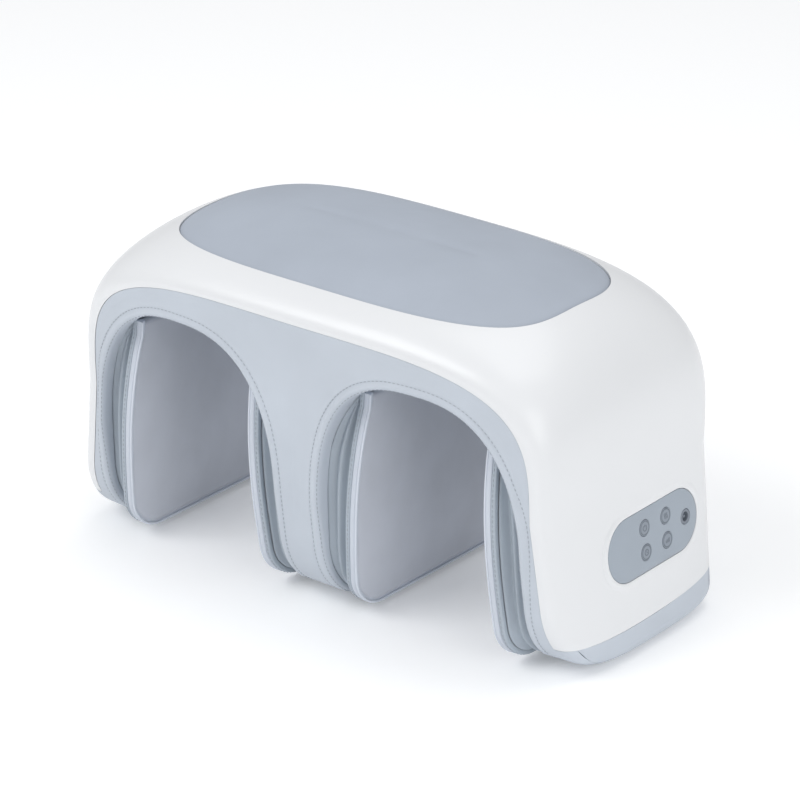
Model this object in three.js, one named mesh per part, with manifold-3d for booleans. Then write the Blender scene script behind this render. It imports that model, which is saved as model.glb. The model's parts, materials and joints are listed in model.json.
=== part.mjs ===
// Airbag leg massager. A moulded shell bridges two arched leg tunnels, each with a
// hinged, padded airbag panel on both sides, and the works sit above the arches.
// Millimetres, +Z up, -Y to the front, +X to the side that has the control panel.
// The origin is on the floor, under the middle of the body.
import * as THREE from 'three';
import { mergeVertices } from 'three/addons/utils/BufferGeometryUtils.js';
import Module from 'manifold-3d';

// Body form
const bodyHeight = 234;
const crownRise = 31;
const springHeight = 110;
const sideBulge = 17.5;
const halfDepth = 101;
const rimBow = 8.4;
const frontCurlRadius = 50;
const rearCurlRadius = 16;
const footRadius = 12;
const soleHeight = 1.5;
const leanShare = 0.04;
const flareShare = 0.12;
const cornerPower = 3.7;
const sidePower = 3;
const crownPower = 1.9;

// Shell, fascias and leg bases
const shellWall = 2.8;
const shellEdgeHeight = 22.7;
const shellEdgeRise = 4;
const shellEdgeTilt = 2;
const seatGap = 0.3;
const fasciaThickness = 7;
const fasciaToeHeight = 7;
const cutOverrun = 10;

// Leg tunnels
const tunnelHalfWidth = 77.4;
const centreLegHalfWidth = 18.6;
const sideLegWidth = 7.6;
const archCover = 25;
const tunnelSpring = 69.5;
const tunnelPower = 2.56;
const linerSetback = 1;
const linerWall = 2.5;
const linerFoot = 3;

// Top cushion
const cushionSideBorder = 32.4;
const cushionEndBorder = 21.2;
const cushionPower = 3.3;
const cushionPocket = 4.5;
const cushionCrown = 2.5;
const cushionEdgeDrop = 1.6;
const cushionEdgeWidth = 9;

// Airbag pads, hinged at their top edge
const padFootHeight = 5;
const padTopSetback = 22;
const padBottomSetback = 17;
const padSideBow = 6;
const padTopRadius = 7;
const padBottomRadius = 34;
const padHalfThickness = 4.6;
const padCrown = 4;
const padSeamDrop = 1.6;
const padRunGap = 0.5;
const padHingeDegrees = 51;
const padLeanDegrees = 4;

// Pleated gussets and the airbags inside them
const gussetInset = 5;
const gussetWall = 1.1;
const pleatDepth = 6;
const pleatRoom = 20;
const airbagInset = 16;
const airbagClearance = 1.2;
const wallOverlap = 1;
const nozzleRadius = 2.4;
const nozzleLength = 6;
const nozzleHeight = 95;
const nozzleHoleGap = 0.5;

// Control panel, a flat plate in a pocket of the right side
const panelCentreDepth = 12;
const panelCentreHeight = 73.2;
const panelHalfLength = 49;
const panelRadius = 21;
const panelSink = 2.6;
const overlayThickness = 1.6;
const pocketBevel = 3.2;
const pocketMargin = 0.4;
const keyPitchLength = 23.4;
const keyPitchHeight = 16.5;
const keyColumnOffset = 3.3;
const keyRadius = 5.4;
const keyHoleGap = 0.35;
const keyProud = 0.3;
const keyTravel = 0.5;
const keyFlangeRadius = 6.8;
const keyFlangeThickness = 0.8;
const keyStemRadius = 2;
const keyStemLength = 1.4;
const socketOffset = 36.5;
const socketRadius = 5;
const socketBoreRadius = 3.15;
const socketPinRadius = 1;
const socketLength = 11;
const socketFlangeRadius = 7;
const switchSide = 6;
const switchHeight = 3.5;
const plungerRadius = 1.7;
const plungerHeight = 1;
const boardThickness = 1.6;
const keyBoardHalfLength = 26;
const keyBoardHalfHeight = 17;
const keyBossRadius = 3;
const keyBossInset = 4;

// Chassis
const frameDepth = 31;
const frameWall = 3;
const trayLift = 5.2;
const trayEndSetback = 39;
const trayRimHeight = 4;
const windowHalfLength = 22;
const windowHeight = 20;
const windowSill = 4;
const hoseHoleRadius = 4.5;
const frameClearance = 1.2;
const frameFootHeight = 26;
const footBossRadius = 4.6;

// Screws and foot pads
const screwRadius = 1.4;
const screwHeadRadius = 2.8;
const screwHeadHeight = 2;
const screwPilotGap = 0.3;
const screwHoleGap = 0.4;
const shellScrewLength = 14;
const shellScrewInset = 10;
const shellBossRadius = 4.2;
const baseScrewLength = 26;
const legPadReach = 7;
const footPadRadius = 5.6;
const footPadThickness = 2.2;
const footPocketDepth = 1;
const baseCounterbore = 3;

// Works on the tray
const worksGap = 4;
const supplyHoseLength = 14;
const pumpLength = 46;
const pumpRadius = 12;
const pumpHeadLength = 16;
const pumpHeadSide = 26;
const cradleWall = 2.5;
const cradleLength = 12;
const cradleFloor = 1.5;
const batteryRadius = 9.2;
const batteryLength = 65;
const batterySpacing = 18.8;
const strapWidth = 14;
const strapThickness = 1.4;
const valveBlockLength = 56;
const valveBlockDepth = 24;
const valveBlockHeight = 12;
const valveRadius = 5.5;
const valveHeight = 17;
const valvePlateThickness = 1.5;
const barbRadius = 2.2;
const barbLength = 5;
const mainBoardLength = 56;
const mainBoardDepth = 38;
const standoffHeight = 5;
const standoffRadius = 3;
const chipSide = 12;
const chipHeight = 2;
const hoseRadius = 2.5;
const hoseLift = 6;

// Fineness of the meshes
const footSteps = 2;
const wallSteps = 4;
const cornerSteps = 10;
const sectionSteps = 12;
const capColumns = 4;
const tunnelSteps = 14;
const outlineSteps = 36;
const roundSteps = 14;
const smallRoundSteps = 8;
const padTopSteps = 3;
const padSideSteps = 6;
const padBottomSteps = 5;
const gussetStart = 3;
const hoseSteps = 18;
const hoseSides = 6;
const weldShare = 1e-6;
const meshTolerance = 0.03;

const quarterTurn = Math.PI / 2;
const halfTurn = Math.PI;
const fullTurn = 2 * Math.PI;
const degree = Math.PI / 180;

// Sizes that follow
const linerOuter = linerSetback + linerWall;
const tunnelOffset = centreLegHalfWidth + tunnelHalfWidth;
const rimHalfWidth = tunnelOffset + tunnelHalfWidth + sideLegWidth;
const rimHeight = bodyHeight - crownRise;
const tunnelHeight = rimHeight - archCover;
const cushionHalfLength = rimHalfWidth - cushionSideBorder;
const cushionHalfDepth = halfDepth - cushionEndBorder;
const padTopHalfDepth = halfDepth - padTopSetback;
const padBottomHalfDepth = halfDepth - padBottomSetback;
const trayHeight = tunnelHeight + linerOuter + seatGap + trayLift;
const trayHalfDepth = halfDepth - trayEndSetback;
const pumpRoom = pumpHeadLength / 4 + pumpLength + pumpHeadLength + barbLength;
const worksLength = batteryLength + pumpRoom + supplyHoseLength + valveBlockLength + mainBoardLength;
const trayHalfLength = worksLength / 2 + 2 * worksGap + frameWall;
const shellScrewOffset = trayHalfLength - shellScrewInset;
const shellScrewDepth = trayHalfDepth - shellScrewInset;
const legPadOffset = rimHalfWidth + legPadReach;
const mainBoardOffset = trayHalfLength - frameWall - worksGap - mainBoardLength / 2;
const valveBlockOffset = mainBoardOffset - (mainBoardLength + valveBlockLength) / 2 - worksGap;
const pumpBarbEnd = valveBlockOffset - valveBlockLength / 2 - supplyHoseLength;
const pumpOffset = pumpBarbEnd - barbLength - pumpHeadLength - pumpLength / 2;
const batteryLow = frameWall + worksGap - trayHalfLength;
const batteryHigh = batteryLow + batteryLength;
const batteryOffset = (batteryLow + batteryHigh) / 2;

const wasm = await Module();
wasm.setup();

const colours = {
  white: { color: 0xeef0f2, roughness: 0.3, metalness: 0 },
  leather: { color: 0xc3cad4, roughness: 0.6, metalness: 0 },
  velvet: { color: 0xb9bfc8, roughness: 0.95, metalness: 0 },
  greyPlastic: { color: 0xa5aeb9, roughness: 0.45, metalness: 0 },
  keyPlastic: { color: 0x9aa4b0, roughness: 0.4, metalness: 0 },
  darkPlastic: { color: 0x4b525b, roughness: 0.5, metalness: 0 },
  framePlastic: { color: 0xd8dadc, roughness: 0.6, metalness: 0 },
  rubber: { color: 0x6d747c, roughness: 0.9, metalness: 0 },
  bladder: { color: 0x39404a, roughness: 0.7, metalness: 0 },
  steel: { color: 0xb9bcc0, roughness: 0.35, metalness: 0.9 },
  board: { color: 0x1f6a45, roughness: 0.6, metalness: 0 },
  hose: { color: 0xe4e4dc, roughness: 0.5, metalness: 0 },
  cell: { color: 0x2f6fb0, roughness: 0.5, metalness: 0 },
};

const massager = new THREE.Group();

function addPart(name, geometry, finish) {
  const mesh = new THREE.Mesh(geometry, new THREE.MeshStandardMaterial(colours[finish]));
  mesh.name = name;
  massager.add(mesh);
  return mesh;
}

// Mesh helpers

function signedVolume(geometry) {
  const place = geometry.attributes.position;
  const [a, b, c] = [new THREE.Vector3(), new THREE.Vector3(), new THREE.Vector3()];
  let sum = 0;
  for (let i = 0; i < geometry.index.count; i += 3) {
    a.fromBufferAttribute(place, geometry.index.getX(i));
    b.fromBufferAttribute(place, geometry.index.getX(i + 1));
    c.fromBufferAttribute(place, geometry.index.getX(i + 2));
    sum += a.dot(b.cross(c));
  }
  return sum;
}

// One closed mesh: shared corners, no slivers, and every face turned outwards.
function welded(geometry) {
  const bare = geometry.clone();
  bare.deleteAttribute('normal');
  bare.deleteAttribute('uv');
  const merged = mergeVertices(bare, weldShare * bodyHeight);
  const corners = merged.index.array;
  const index = [];
  for (let i = 0; i < corners.length; i += 3) {
    const [a, b, c] = [corners[i], corners[i + 1], corners[i + 2]];
    if (a !== b && b !== c && c !== a) index.push(a, b, c);
  }
  merged.setIndex(index);
  if (signedVolume(merged) < 0) {
    for (let i = 0; i < index.length; i += 3) [index[i], index[i + 1]] = [index[i + 1], index[i]];
    merged.setIndex(index);
  }
  return merged;
}

// A closed mesh from a flat list of triangle corners.
function closedGeometry(corners) {
  const raw = new THREE.BufferGeometry();
  raw.setAttribute('position', new THREE.Float32BufferAttribute(corners, 3));
  return welded(raw);
}

// Adds a sheet of quads, rows by columns, whose corners come from pointAt(row, column).
function addSheet(corners, rows, columns, pointAt, flip = false) {
  for (let i = 0; i < rows; i += 1) {
    for (let j = 0; j < columns; j += 1) {
      const [a, b, c, d] = [pointAt(i, j), pointAt(i + 1, j), pointAt(i + 1, j + 1), pointAt(i, j + 1)];
      if (flip) corners.push(...a, ...c, ...b, ...a, ...d, ...c);
      else corners.push(...a, ...b, ...c, ...a, ...c, ...d);
    }
  }
}

// A closed solid from rings of equal count, its first and last ring closed by fans.
function ringSolid(rings) {
  const corners = [];
  const count = rings[0].length;
  addSheet(corners, rings.length - 1, count, (i, j) => rings[i][j % count], true);
  const fan = (ring, flip) => {
    const centre = [0, 1, 2].map((axis) => ring.reduce((sum, point) => sum + point[axis], 0) / count);
    ring.forEach((point, j) => {
      const next = ring[(j + 1) % count];
      if (flip) corners.push(...centre, ...next, ...point);
      else corners.push(...centre, ...point, ...next);
    });
  };
  fan(rings[0], true);
  fan(rings[rings.length - 1], false);
  return closedGeometry(corners);
}

// A closed solid between two sheets of points of equal rows and columns.
function sheetSolid(front, back) {
  const corners = [];
  const [rows, columns] = [front.length - 1, front[0].length - 1];
  const rim = (row, column, side) => (side ? back : front)[row][column];
  addSheet(corners, rows, columns, (i, j) => front[i][j]);
  addSheet(corners, rows, columns, (i, j) => back[i][j], true);
  addSheet(corners, 1, columns, (i, j) => rim(0, j, i), true);
  addSheet(corners, 1, columns, (i, j) => rim(rows, j, i));
  addSheet(corners, rows, 1, (i, j) => rim(i, 0, j), true);
  addSheet(corners, rows, 1, (i, j) => rim(i, columns, j));
  return closedGeometry(corners);
}

function toSolid(geometry) {
  const closed = welded(geometry);
  return new wasm.Manifold(new wasm.Mesh({
    numProp: 3,
    vertProperties: new Float32Array(closed.attributes.position.array),
    triVerts: new Uint32Array(closed.index.array),
  }));
}

function toGeometry(solid) {
  const mesh = solid.simplify(meshTolerance).getMesh();
  const geometry = new THREE.BufferGeometry();
  geometry.setAttribute('position', new THREE.Float32BufferAttribute(mesh.vertProperties, 3));
  geometry.setIndex(Array.from(mesh.triVerts));
  return geometry;
}

function joined(solids) {
  return solids.reduce((sum, solid) => sum.add(solid));
}

function moved(geometry, x, y, z) {
  return geometry.translate(x, y, z);
}

function block(lowX, highX, lowY, highY, lowZ, highZ) {
  const box = new THREE.BoxGeometry(highX - lowX, highY - lowY, highZ - lowZ);
  return toSolid(moved(box, (lowX + highX) / 2, (lowY + highY) / 2, (lowZ + highZ) / 2));
}

// A round bar along Z, from one height to another.
function uprightBar(radius, x, y, low, high, steps = roundSteps) {
  const bar = new THREE.CylinderGeometry(radius, radius, high - low, steps);
  return toSolid(moved(bar.rotateX(quarterTurn), x, y, (low + high) / 2));
}

// A round bar along X.
function levelBar(radius, lowX, highX, y, z, steps = roundSteps) {
  const bar = new THREE.CylinderGeometry(radius, radius, highX - lowX, steps);
  return toSolid(moved(bar.rotateZ(quarterTurn), (lowX + highX) / 2, y, z));
}

// An outline in X and Z, extruded along Y.
function prismAlongY(outline, lowY, highY) {
  const shape = new THREE.Shape(outline.map(([x, z]) => new THREE.Vector2(x, z)));
  const prism = new THREE.ExtrudeGeometry(shape, { depth: highY - lowY, bevelEnabled: false });
  return toSolid(moved(prism.rotateX(quarterTurn), 0, highY, 0));
}

// An outline in Y and Z, extruded along X.
function prismAlongX(outline, lowX, highX) {
  const shape = new THREE.Shape(outline.map(([y, z]) => new THREE.Vector2(y, z)));
  const prism = new THREE.ExtrudeGeometry(shape, { depth: highX - lowX, bevelEnabled: false });
  const turn = new THREE.Matrix4().set(0, 0, 1, 0, 1, 0, 0, 0, 0, 1, 0, 0, 0, 0, 0, 1);
  return toSolid(moved(prism.applyMatrix4(turn), lowX, 0, 0));
}

// An outline in X and Y, extruded along Z.
function prismAlongZ(outline, lowZ, highZ) {
  const shape = new THREE.Shape(outline.map(([x, y]) => new THREE.Vector2(x, y)));
  const prism = new THREE.ExtrudeGeometry(shape, { depth: highZ - lowZ, bevelEnabled: false });
  return toSolid(moved(prism, 0, 0, lowZ));
}

// Form of the body

function roundness(share, power) {
  return (1 - Math.min(1, Math.abs(share)) ** power) ** (1 / power);
}

// How far a round corner of this radius draws in at a height above its lowest point.
function drawnIn(radius, height) {
  const below = Math.min(radius, Math.max(0, radius - height));
  return radius - Math.sqrt(radius ** 2 - below ** 2);
}

// Distance from the middle plane to the front face, or to the rear one where the end
// is positive. The front curls in further over the feet.
function endDepth(x, z, end, inset = 0) {
  const bow = rimBow * (x / rimHalfWidth) ** 2;
  const lean = leanShare * Math.max(0, rimHeight - z);
  const curlRadius = end > 0 ? rearCurlRadius : frontCurlRadius;
  return halfDepth - bow - lean - drawnIn(curlRadius, z - soleHeight) - inset;
}

function skinHalfWidth(depthShare, z, inset = 0) {
  const barrel = rimHalfWidth + sideBulge * roundness(depthShare, sidePower);
  const flare = flareShare * Math.max(0, springHeight - z);
  return barrel + flare - drawnIn(footRadius, z - soleHeight) - inset;
}

function skinHeight(depthShare, inset = 0) {
  return rimHeight + (bodyHeight - rimHeight) * roundness(depthShare, crownPower) - inset;
}

const rowSteps = footSteps + wallSteps + cornerSteps;

// Right half of a cross section, from the sole up the side to the middle of the top.
function rowPoint(depthShare, row, inset) {
  if (row <= footSteps) {
    const z = soleHeight + footRadius * (1 - Math.cos((quarterTurn * row) / footSteps));
    return [skinHalfWidth(depthShare, z, inset), z];
  }
  if (row <= footSteps + wallSteps) {
    const share = ((row - footSteps) / wallSteps) ** 1.6;
    const z = soleHeight + footRadius + (springHeight - soleHeight - footRadius) * share;
    return [skinHalfWidth(depthShare, z, inset), z];
  }
  const turn = (quarterTurn * (row - footSteps - wallSteps)) / cornerSteps;
  const x = skinHalfWidth(depthShare, springHeight, inset) * Math.cos(turn) ** (2 / cornerPower);
  const rise = skinHeight(depthShare, inset) - springHeight;
  return [row === rowSteps ? 0 : x, springHeight + rise * Math.sin(turn) ** (2 / cornerPower)];
}

// The whole body as one solid, drawn in by a side inset and an end inset. An overrun
// carries its end sections past the faces, for cutting.
function bodySolid({ side = 0, end = 0, overrun = 0 }) {
  const sections = [];
  for (let i = 0; i <= sectionSteps; i += 1) {
    sections.push({ share: Math.sin((halfTurn * i) / sectionSteps - quarterTurn), extra: 0 });
  }
  if (overrun > 0) {
    sections.unshift({ share: -1, extra: -overrun });
    sections.push({ share: 1, extra: overrun });
  }
  const nominal = (z, share) => endDepth(rimHalfWidth, z, share, end) / endDepth(rimHalfWidth, z, share);
  const place = ({ share, extra }, x, z) => [x, share * endDepth(x, z, share, end) + extra, z];
  const skinPoint = (i, row) => {
    const section = sections[i];
    const right = row <= rowSteps;
    const upRow = right ? row : 2 * rowSteps - row;
    const height = rowPoint(section.share, upRow, side)[1];
    const [x, z] = rowPoint(section.share * nominal(height, section.share), upRow, side);
    return place(section, right ? x : -x, z);
  };
  const across = (i, row, column) => {
    const [x, , z] = skinPoint(i, row);
    return place(sections[i], x * (1 - (2 * column) / capColumns), z);
  };
  const last = sections.length - 1;
  const corners = [];
  addSheet(corners, last, 2 * rowSteps, skinPoint);
  addSheet(corners, last, capColumns, (i, column) => across(i, 0, column), true);
  addSheet(corners, rowSteps, capColumns, (row, column) => across(0, row, column));
  addSheet(corners, rowSteps, capColumns, (row, column) => across(last, row, column), true);
  return toSolid(closedGeometry(corners));
}

// Height of the skin over a point of the plan.
function skinTop(x, y, inset = 0) {
  const share = y / endDepth(x, rimHeight, y);
  const width = skinHalfWidth(share, springHeight, inset);
  const rise = skinHeight(share, inset) - springHeight;
  return springHeight + rise * roundness(x / width, cornerPower);
}

// Outline of the front rim in X and Z, open below the sole for cutting.
function rimOutline(inset) {
  const right = [];
  for (let row = 0; row <= rowSteps; row += 1) right.push(rowPoint(1, row, inset));
  const left = right.slice(0, -1).reverse().map(([x, z]) => [-x, z]);
  return [...right, ...left];
}

// The shell's lower edge rises towards both ends, a little more to the rear.
function edgeHeight(share) {
  return shellEdgeHeight + shellEdgeRise * share ** 2 + shellEdgeTilt * share;
}

// Zone under the shell's lower edge
function lowZone(drop) {
  const outline = [];
  for (let i = 0; i <= sectionSteps; i += 1) {
    const share = 1 - (2 * i) / sectionSteps;
    outline.push([share * halfDepth, edgeHeight(share) - drop]);
  }
  outline.push([-halfDepth - cutOverrun, edgeHeight(-1) - drop]);
  outline.push([-halfDepth - cutOverrun, -cutOverrun], [halfDepth + cutOverrun, -cutOverrun]);
  outline.push([halfDepth + cutOverrun, edgeHeight(1) - drop]);
  return prismAlongX(outline.reverse(), -rimHalfWidth - bodyHeight, rimHalfWidth + bodyHeight);
}

function superOutline(halfLength, halfWidth, power, steps) {
  const points = [];
  for (let i = 0; i < steps; i += 1) {
    const turn = (fullTurn * i) / steps;
    const [c, s] = [Math.cos(turn), Math.sin(turn)];
    points.push([
      halfLength * Math.sign(c) * Math.abs(c) ** (2 / power),
      halfWidth * Math.sign(s) * Math.abs(s) ** (2 / power),
    ]);
  }
  return points;
}

// Leg tunnels

function tunnelOutline(centre, offset, bottom) {
  const points = [[centre + tunnelHalfWidth + offset, bottom]];
  for (let i = 0; i <= tunnelSteps; i += 1) {
    const turn = (halfTurn * i) / tunnelSteps;
    const c = Math.cos(turn);
    const rise = tunnelHeight + offset - tunnelSpring;
    points.push([
      centre + (tunnelHalfWidth + offset) * Math.sign(c) * Math.abs(c) ** (2 / tunnelPower),
      tunnelSpring + rise * Math.abs(Math.sin(turn)) ** (2 / tunnelPower),
    ]);
  }
  points.push([centre - tunnelHalfWidth - offset, bottom]);
  return points;
}

function tunnelCuts(offset) {
  const reach = halfDepth + cutOverrun;
  return joined([-tunnelOffset, tunnelOffset].map((centre) => (
    prismAlongY(tunnelOutline(centre, offset, -cutOverrun), -reach, reach))));
}

const tunnels = { lip: tunnelCuts(0), outside: tunnelCuts(linerOuter + seatGap) };

// Control panel place: a flat plane in the right side, X along the panel to the rear,
// Y up and Z out of the body.
function panelPlace() {
  const share = (depth) => depth / endDepth(rimHalfWidth, panelCentreHeight, depth);
  const width = (depth) => skinHalfWidth(share(depth), panelCentreHeight);
  const [front, rear] = [panelCentreDepth - panelHalfLength, panelCentreDepth + panelHalfLength];
  const length = new THREE.Vector3(width(rear) - width(front), rear - front, 0).normalize();
  const upright = new THREE.Vector3(-flareShare, 0, 1).normalize();
  const outward = new THREE.Vector3().crossVectors(length, upright).normalize();
  const up = new THREE.Vector3().crossVectors(outward, length);
  const centre = new THREE.Vector3(width(panelCentreDepth), panelCentreDepth, panelCentreHeight);
  centre.addScaledVector(outward, -panelSink);
  return new THREE.Matrix4().makeBasis(length, up, outward).setPosition(centre);
}

const panelMatrix = panelPlace();
const overlayTop = seatGap + overlayThickness;
const keyPlaces = [];
[-1, 1].forEach((column) => [1, -1].forEach((row) => {
  keyPlaces.push([keyColumnOffset + (column * keyPitchLength) / 2, (row * keyPitchHeight) / 2]);
}));
const switchTop = -(shellWall + seatGap + keyFlangeThickness + keyStemLength + keyTravel + 0.2 * seatGap);
const boardTop = switchTop - plungerHeight - switchHeight;

function onPanel(geometry) {
  return toSolid(geometry.applyMatrix4(panelMatrix));
}

// A round bar that stands on the panel's plane.
function panelBar(radius, [x, y], low, high, steps = roundSteps) {
  const bar = new THREE.CylinderGeometry(radius, radius, high - low, steps).rotateX(quarterTurn);
  return onPanel(moved(bar, x, y, (low + high) / 2));
}

function panelBlock(x, y, halfLength, halfHeight, low, high) {
  const box = new THREE.BoxGeometry(2 * halfLength, 2 * halfHeight, high - low);
  return onPanel(moved(box, x, y, (low + high) / 2));
}

// A plate with round ends, drawn as rings so that it can taper.
function panelPlate(levels) {
  const rings = levels.map(([grow, height]) => {
    const ring = [];
    const radius = panelRadius + grow;
    const straight = panelHalfLength - panelRadius;
    [1, -1].forEach((side) => {
      for (let i = 0; i <= roundSteps / 2; i += 1) {
        const turn = (halfTurn * i) / (roundSteps / 2) - side * quarterTurn;
        ring.push([side * straight + radius * Math.cos(turn), radius * Math.sin(turn), height]);
      }
    });
    return ring;
  });
  return onPanel(ringSolid(rings));
}

// White shell

const screwSpots = [-1, 1].flatMap((side) => [-1, 1].map((end) => (
  [side * shellScrewOffset, end * shellScrewDepth])));

// Room inside the shell's even wall, which steps down under the cushion and in behind
// the panel. The gap keeps other parts clear of it.
function shellInside(gap, overrun = 0) {
  const top = bodyHeight + cutOverrun;
  const stepped = superOutline(
    cushionHalfLength + shellWall + gap, cushionHalfDepth + shellWall + gap, cushionPower, outlineSteps);
  const underPocket = bodySolid({ side: cushionPocket + shellWall + gap });
  const thicker = prismAlongZ(stepped, springHeight, top).subtract(underPocket);
  const behind = -shellWall - gap;
  const panelBack = panelPlate([[shellWall + gap, behind], [shellWall + gap, cutOverrun]]);
  return bodySolid({ side: shellWall + gap, overrun }).subtract(thicker).subtract(panelBack);
}

function cushionPrism() {
  const outline = superOutline(cushionHalfLength, cushionHalfDepth, cushionPower, outlineSteps);
  return prismAlongZ(outline, springHeight, bodyHeight + cutOverrun);
}

function makeShell() {
  const outer = bodySolid({});
  const pocket = cushionPrism().subtract(bodySolid({ side: cushionPocket }));
  const bosses = screwSpots.map(([x, y]) => (
    uprightBar(shellBossRadius, x, y, trayHeight + seatGap, skinTop(x, y) - cushionPocket, smallRoundSteps)));
  const pilots = screwSpots.map(([x, y]) => {
    const low = trayHeight + seatGap - cutOverrun;
    const high = trayHeight + shellScrewLength;
    return uprightBar(screwRadius + screwPilotGap, x, y, low, high, smallRoundSteps);
  });
  const keyBosses = keyBossSpots().map((spot) => (
    panelBar(keyBossRadius, spot, boardTop + seatGap, -shellWall / 2, smallRoundSteps)));
  const keyPilots = keyBossSpots().map((spot) => (
    panelBar(screwRadius - screwPilotGap, spot, boardTop - seatGap, -shellWall, smallRoundSteps)));
  const openings = keyPlaces.map((spot) => panelBar(keyRadius + keyHoleGap, spot, -cutOverrun, cutOverrun));
  openings.push(panelBar(socketRadius + keyHoleGap, [socketOffset, 0], -cutOverrun, cutOverrun));
  const panelPocket = panelPlate([
    [pocketMargin, 0], [pocketMargin, overlayTop - seatGap], [pocketBevel, panelSink + pocketBevel]]);
  return outer
    .subtract(shellInside(0, cutOverrun))
    .add(joined(bosses).intersect(outer))
    .add(joined(keyBosses))
    .subtract(joined([pocket, panelPocket, ...openings, ...pilots, ...keyPilots]))
    .subtract(lowZone(0));
}

function keyBossSpots() {
  const [x, y] = [keyBoardHalfLength - keyBossInset, keyBoardHalfHeight - keyBossInset];
  return [-1, 1].map((side) => [keyColumnOffset + side * x, -side * y]);
}

// Leather fascias and leg bases

function makeFascias() {
  const reach = halfDepth + cutOverrun;
  const inside = prismAlongY(rimOutline(shellWall + seatGap), -reach, reach);
  const flush = bodySolid({}).intersect(lowZone(seatGap));
  const ends = bodySolid({ side: -cutOverrun }).subtract(bodySolid({ side: -2 * cutOverrun, end: fasciaThickness }));
  const both = inside.add(flush).intersect(ends).subtract(tunnels.lip);
  const wide = rimHalfWidth + bodyHeight;
  const front = block(-wide, wide, -reach, 0, fasciaToeHeight, bodyHeight);
  const rear = block(-wide, wide, 0, reach, fasciaToeHeight, bodyHeight);
  return [both.intersect(front), both.intersect(rear)];
}

const legs = [{ name: 'left', x: -legPadOffset }, { name: 'centre', x: 0 }, { name: 'right', x: legPadOffset }];
const footSpots = legs.flatMap(({ x }) => [[x, -frameDepth], [x, frameDepth]]);

// Outline of a strip along the depth with round ends, over the two screws of a leg.
function stripOutline(centre, radius) {
  const points = [];
  [1, -1].forEach((end) => {
    for (let i = 0; i <= smallRoundSteps; i += 1) {
      const turn = (halfTurn * i) / smallRoundSteps + (end < 0 ? halfTurn : 0);
      points.push([centre + radius * Math.cos(turn), end * frameDepth + radius * Math.sin(turn)]);
    }
  });
  return points;
}

function makeLegBases() {
  const reach = halfDepth + cutOverrun;
  const wide = rimHalfWidth + bodyHeight;
  const behind = bodySolid({ side: -cutOverrun, end: fasciaThickness + seatGap });
  const toe = block(-wide, wide, -reach, reach, -cutOverrun, fasciaToeHeight - seatGap);
  const pocketTop = soleHeight + footPocketDepth;
  const pockets = legs.map(({ x }) => (
    prismAlongZ(stripOutline(x, footPadRadius + seatGap), -cutOverrun, pocketTop)));
  const heads = footSpots.map(([x, y]) => (
    uprightBar(screwHeadRadius + screwHoleGap, x, y, 0, pocketTop + baseCounterbore, smallRoundSteps)));
  const holes = footSpots.map(([x, y]) => (
    uprightBar(screwRadius + screwHoleGap, x, y, 0, edgeHeight(1), smallRoundSteps)));
  const all = bodySolid({})
    .intersect(behind.add(toe))
    .intersect(lowZone(seatGap))
    .subtract(tunnels.outside)
    .subtract(joined([...pockets, ...heads, ...holes]));
  const top = edgeHeight(1);
  return [
    all.intersect(block(-wide, -tunnelOffset, -reach, reach, 0, top)),
    all.intersect(block(-tunnelOffset, tunnelOffset, -reach, reach, 0, top)),
    all.intersect(block(tunnelOffset, wide, -reach, reach, 0, top)),
  ];
}

function makeFootPad(centre) {
  return prismAlongZ(stripOutline(centre, footPadRadius), 0, footPadThickness);
}

// Tunnel liners: an arch of even wall between the two fascias

function makeLiner(centre) {
  const reach = halfDepth + cutOverrun;
  const outer = prismAlongY(tunnelOutline(centre, linerOuter, linerFoot), -reach, reach);
  const inner = prismAlongY(tunnelOutline(centre, linerSetback, -cutOverrun), -reach, reach);
  const between = bodySolid({ side: -cutOverrun, end: fasciaThickness + seatGap });
  const holes = [-1, 1].map((side) => {
    const wall = centre + side * (tunnelHalfWidth + linerOuter);
    return levelBar(nozzleRadius + nozzleHoleGap, wall - cutOverrun, wall + cutOverrun, 0, nozzleHeight, smallRoundSteps);
  });
  return outer.subtract(inner).intersect(between).subtract(joined(holes));
}

// Top cushion: a crowned pad with a rolled edge, let into its pocket

function makeCushion() {
  const ring = (inset, lift) => (
    superOutline(cushionHalfLength - inset, cushionHalfDepth - inset, cushionPower, outlineSteps)
      .map(([x, y]) => [x, y, lift(x, y)]));
  const below = () => springHeight + cutOverrun;
  const edge = (x, y) => skinTop(x, y) - cushionEdgeDrop;
  const shoulder = (x, y) => skinTop(x, y) + cushionCrown / 3;
  const crown = (share) => (x, y) => skinTop(x, y) + cushionCrown * share;
  const crowned = toSolid(ringSolid([
    ring(seatGap, below),
    ring(seatGap, edge),
    ring(seatGap + cushionEdgeWidth / 4, shoulder),
    ring(cushionEdgeWidth, crown(0.8)),
    ring(cushionHalfDepth / 3, crown(1)),
    ring(cushionHalfDepth * 0.75, crown(1)),
  ]));
  return crowned.subtract(bodySolid({ side: cushionPocket - seatGap }));
}

// Airbag pads. Each hangs from a hinge line near the tunnel's roof. Pad places are
// given along the depth, down from the hinge line and out towards the leg.

const padSpots = [
  { name: 'left_outer', centre: -tunnelOffset, side: -1 },
  { name: 'left_inner', centre: -tunnelOffset, side: 1 },
  { name: 'right_inner', centre: tunnelOffset, side: -1 },
  { name: 'right_outer', centre: tunnelOffset, side: 1 },
];

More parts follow.
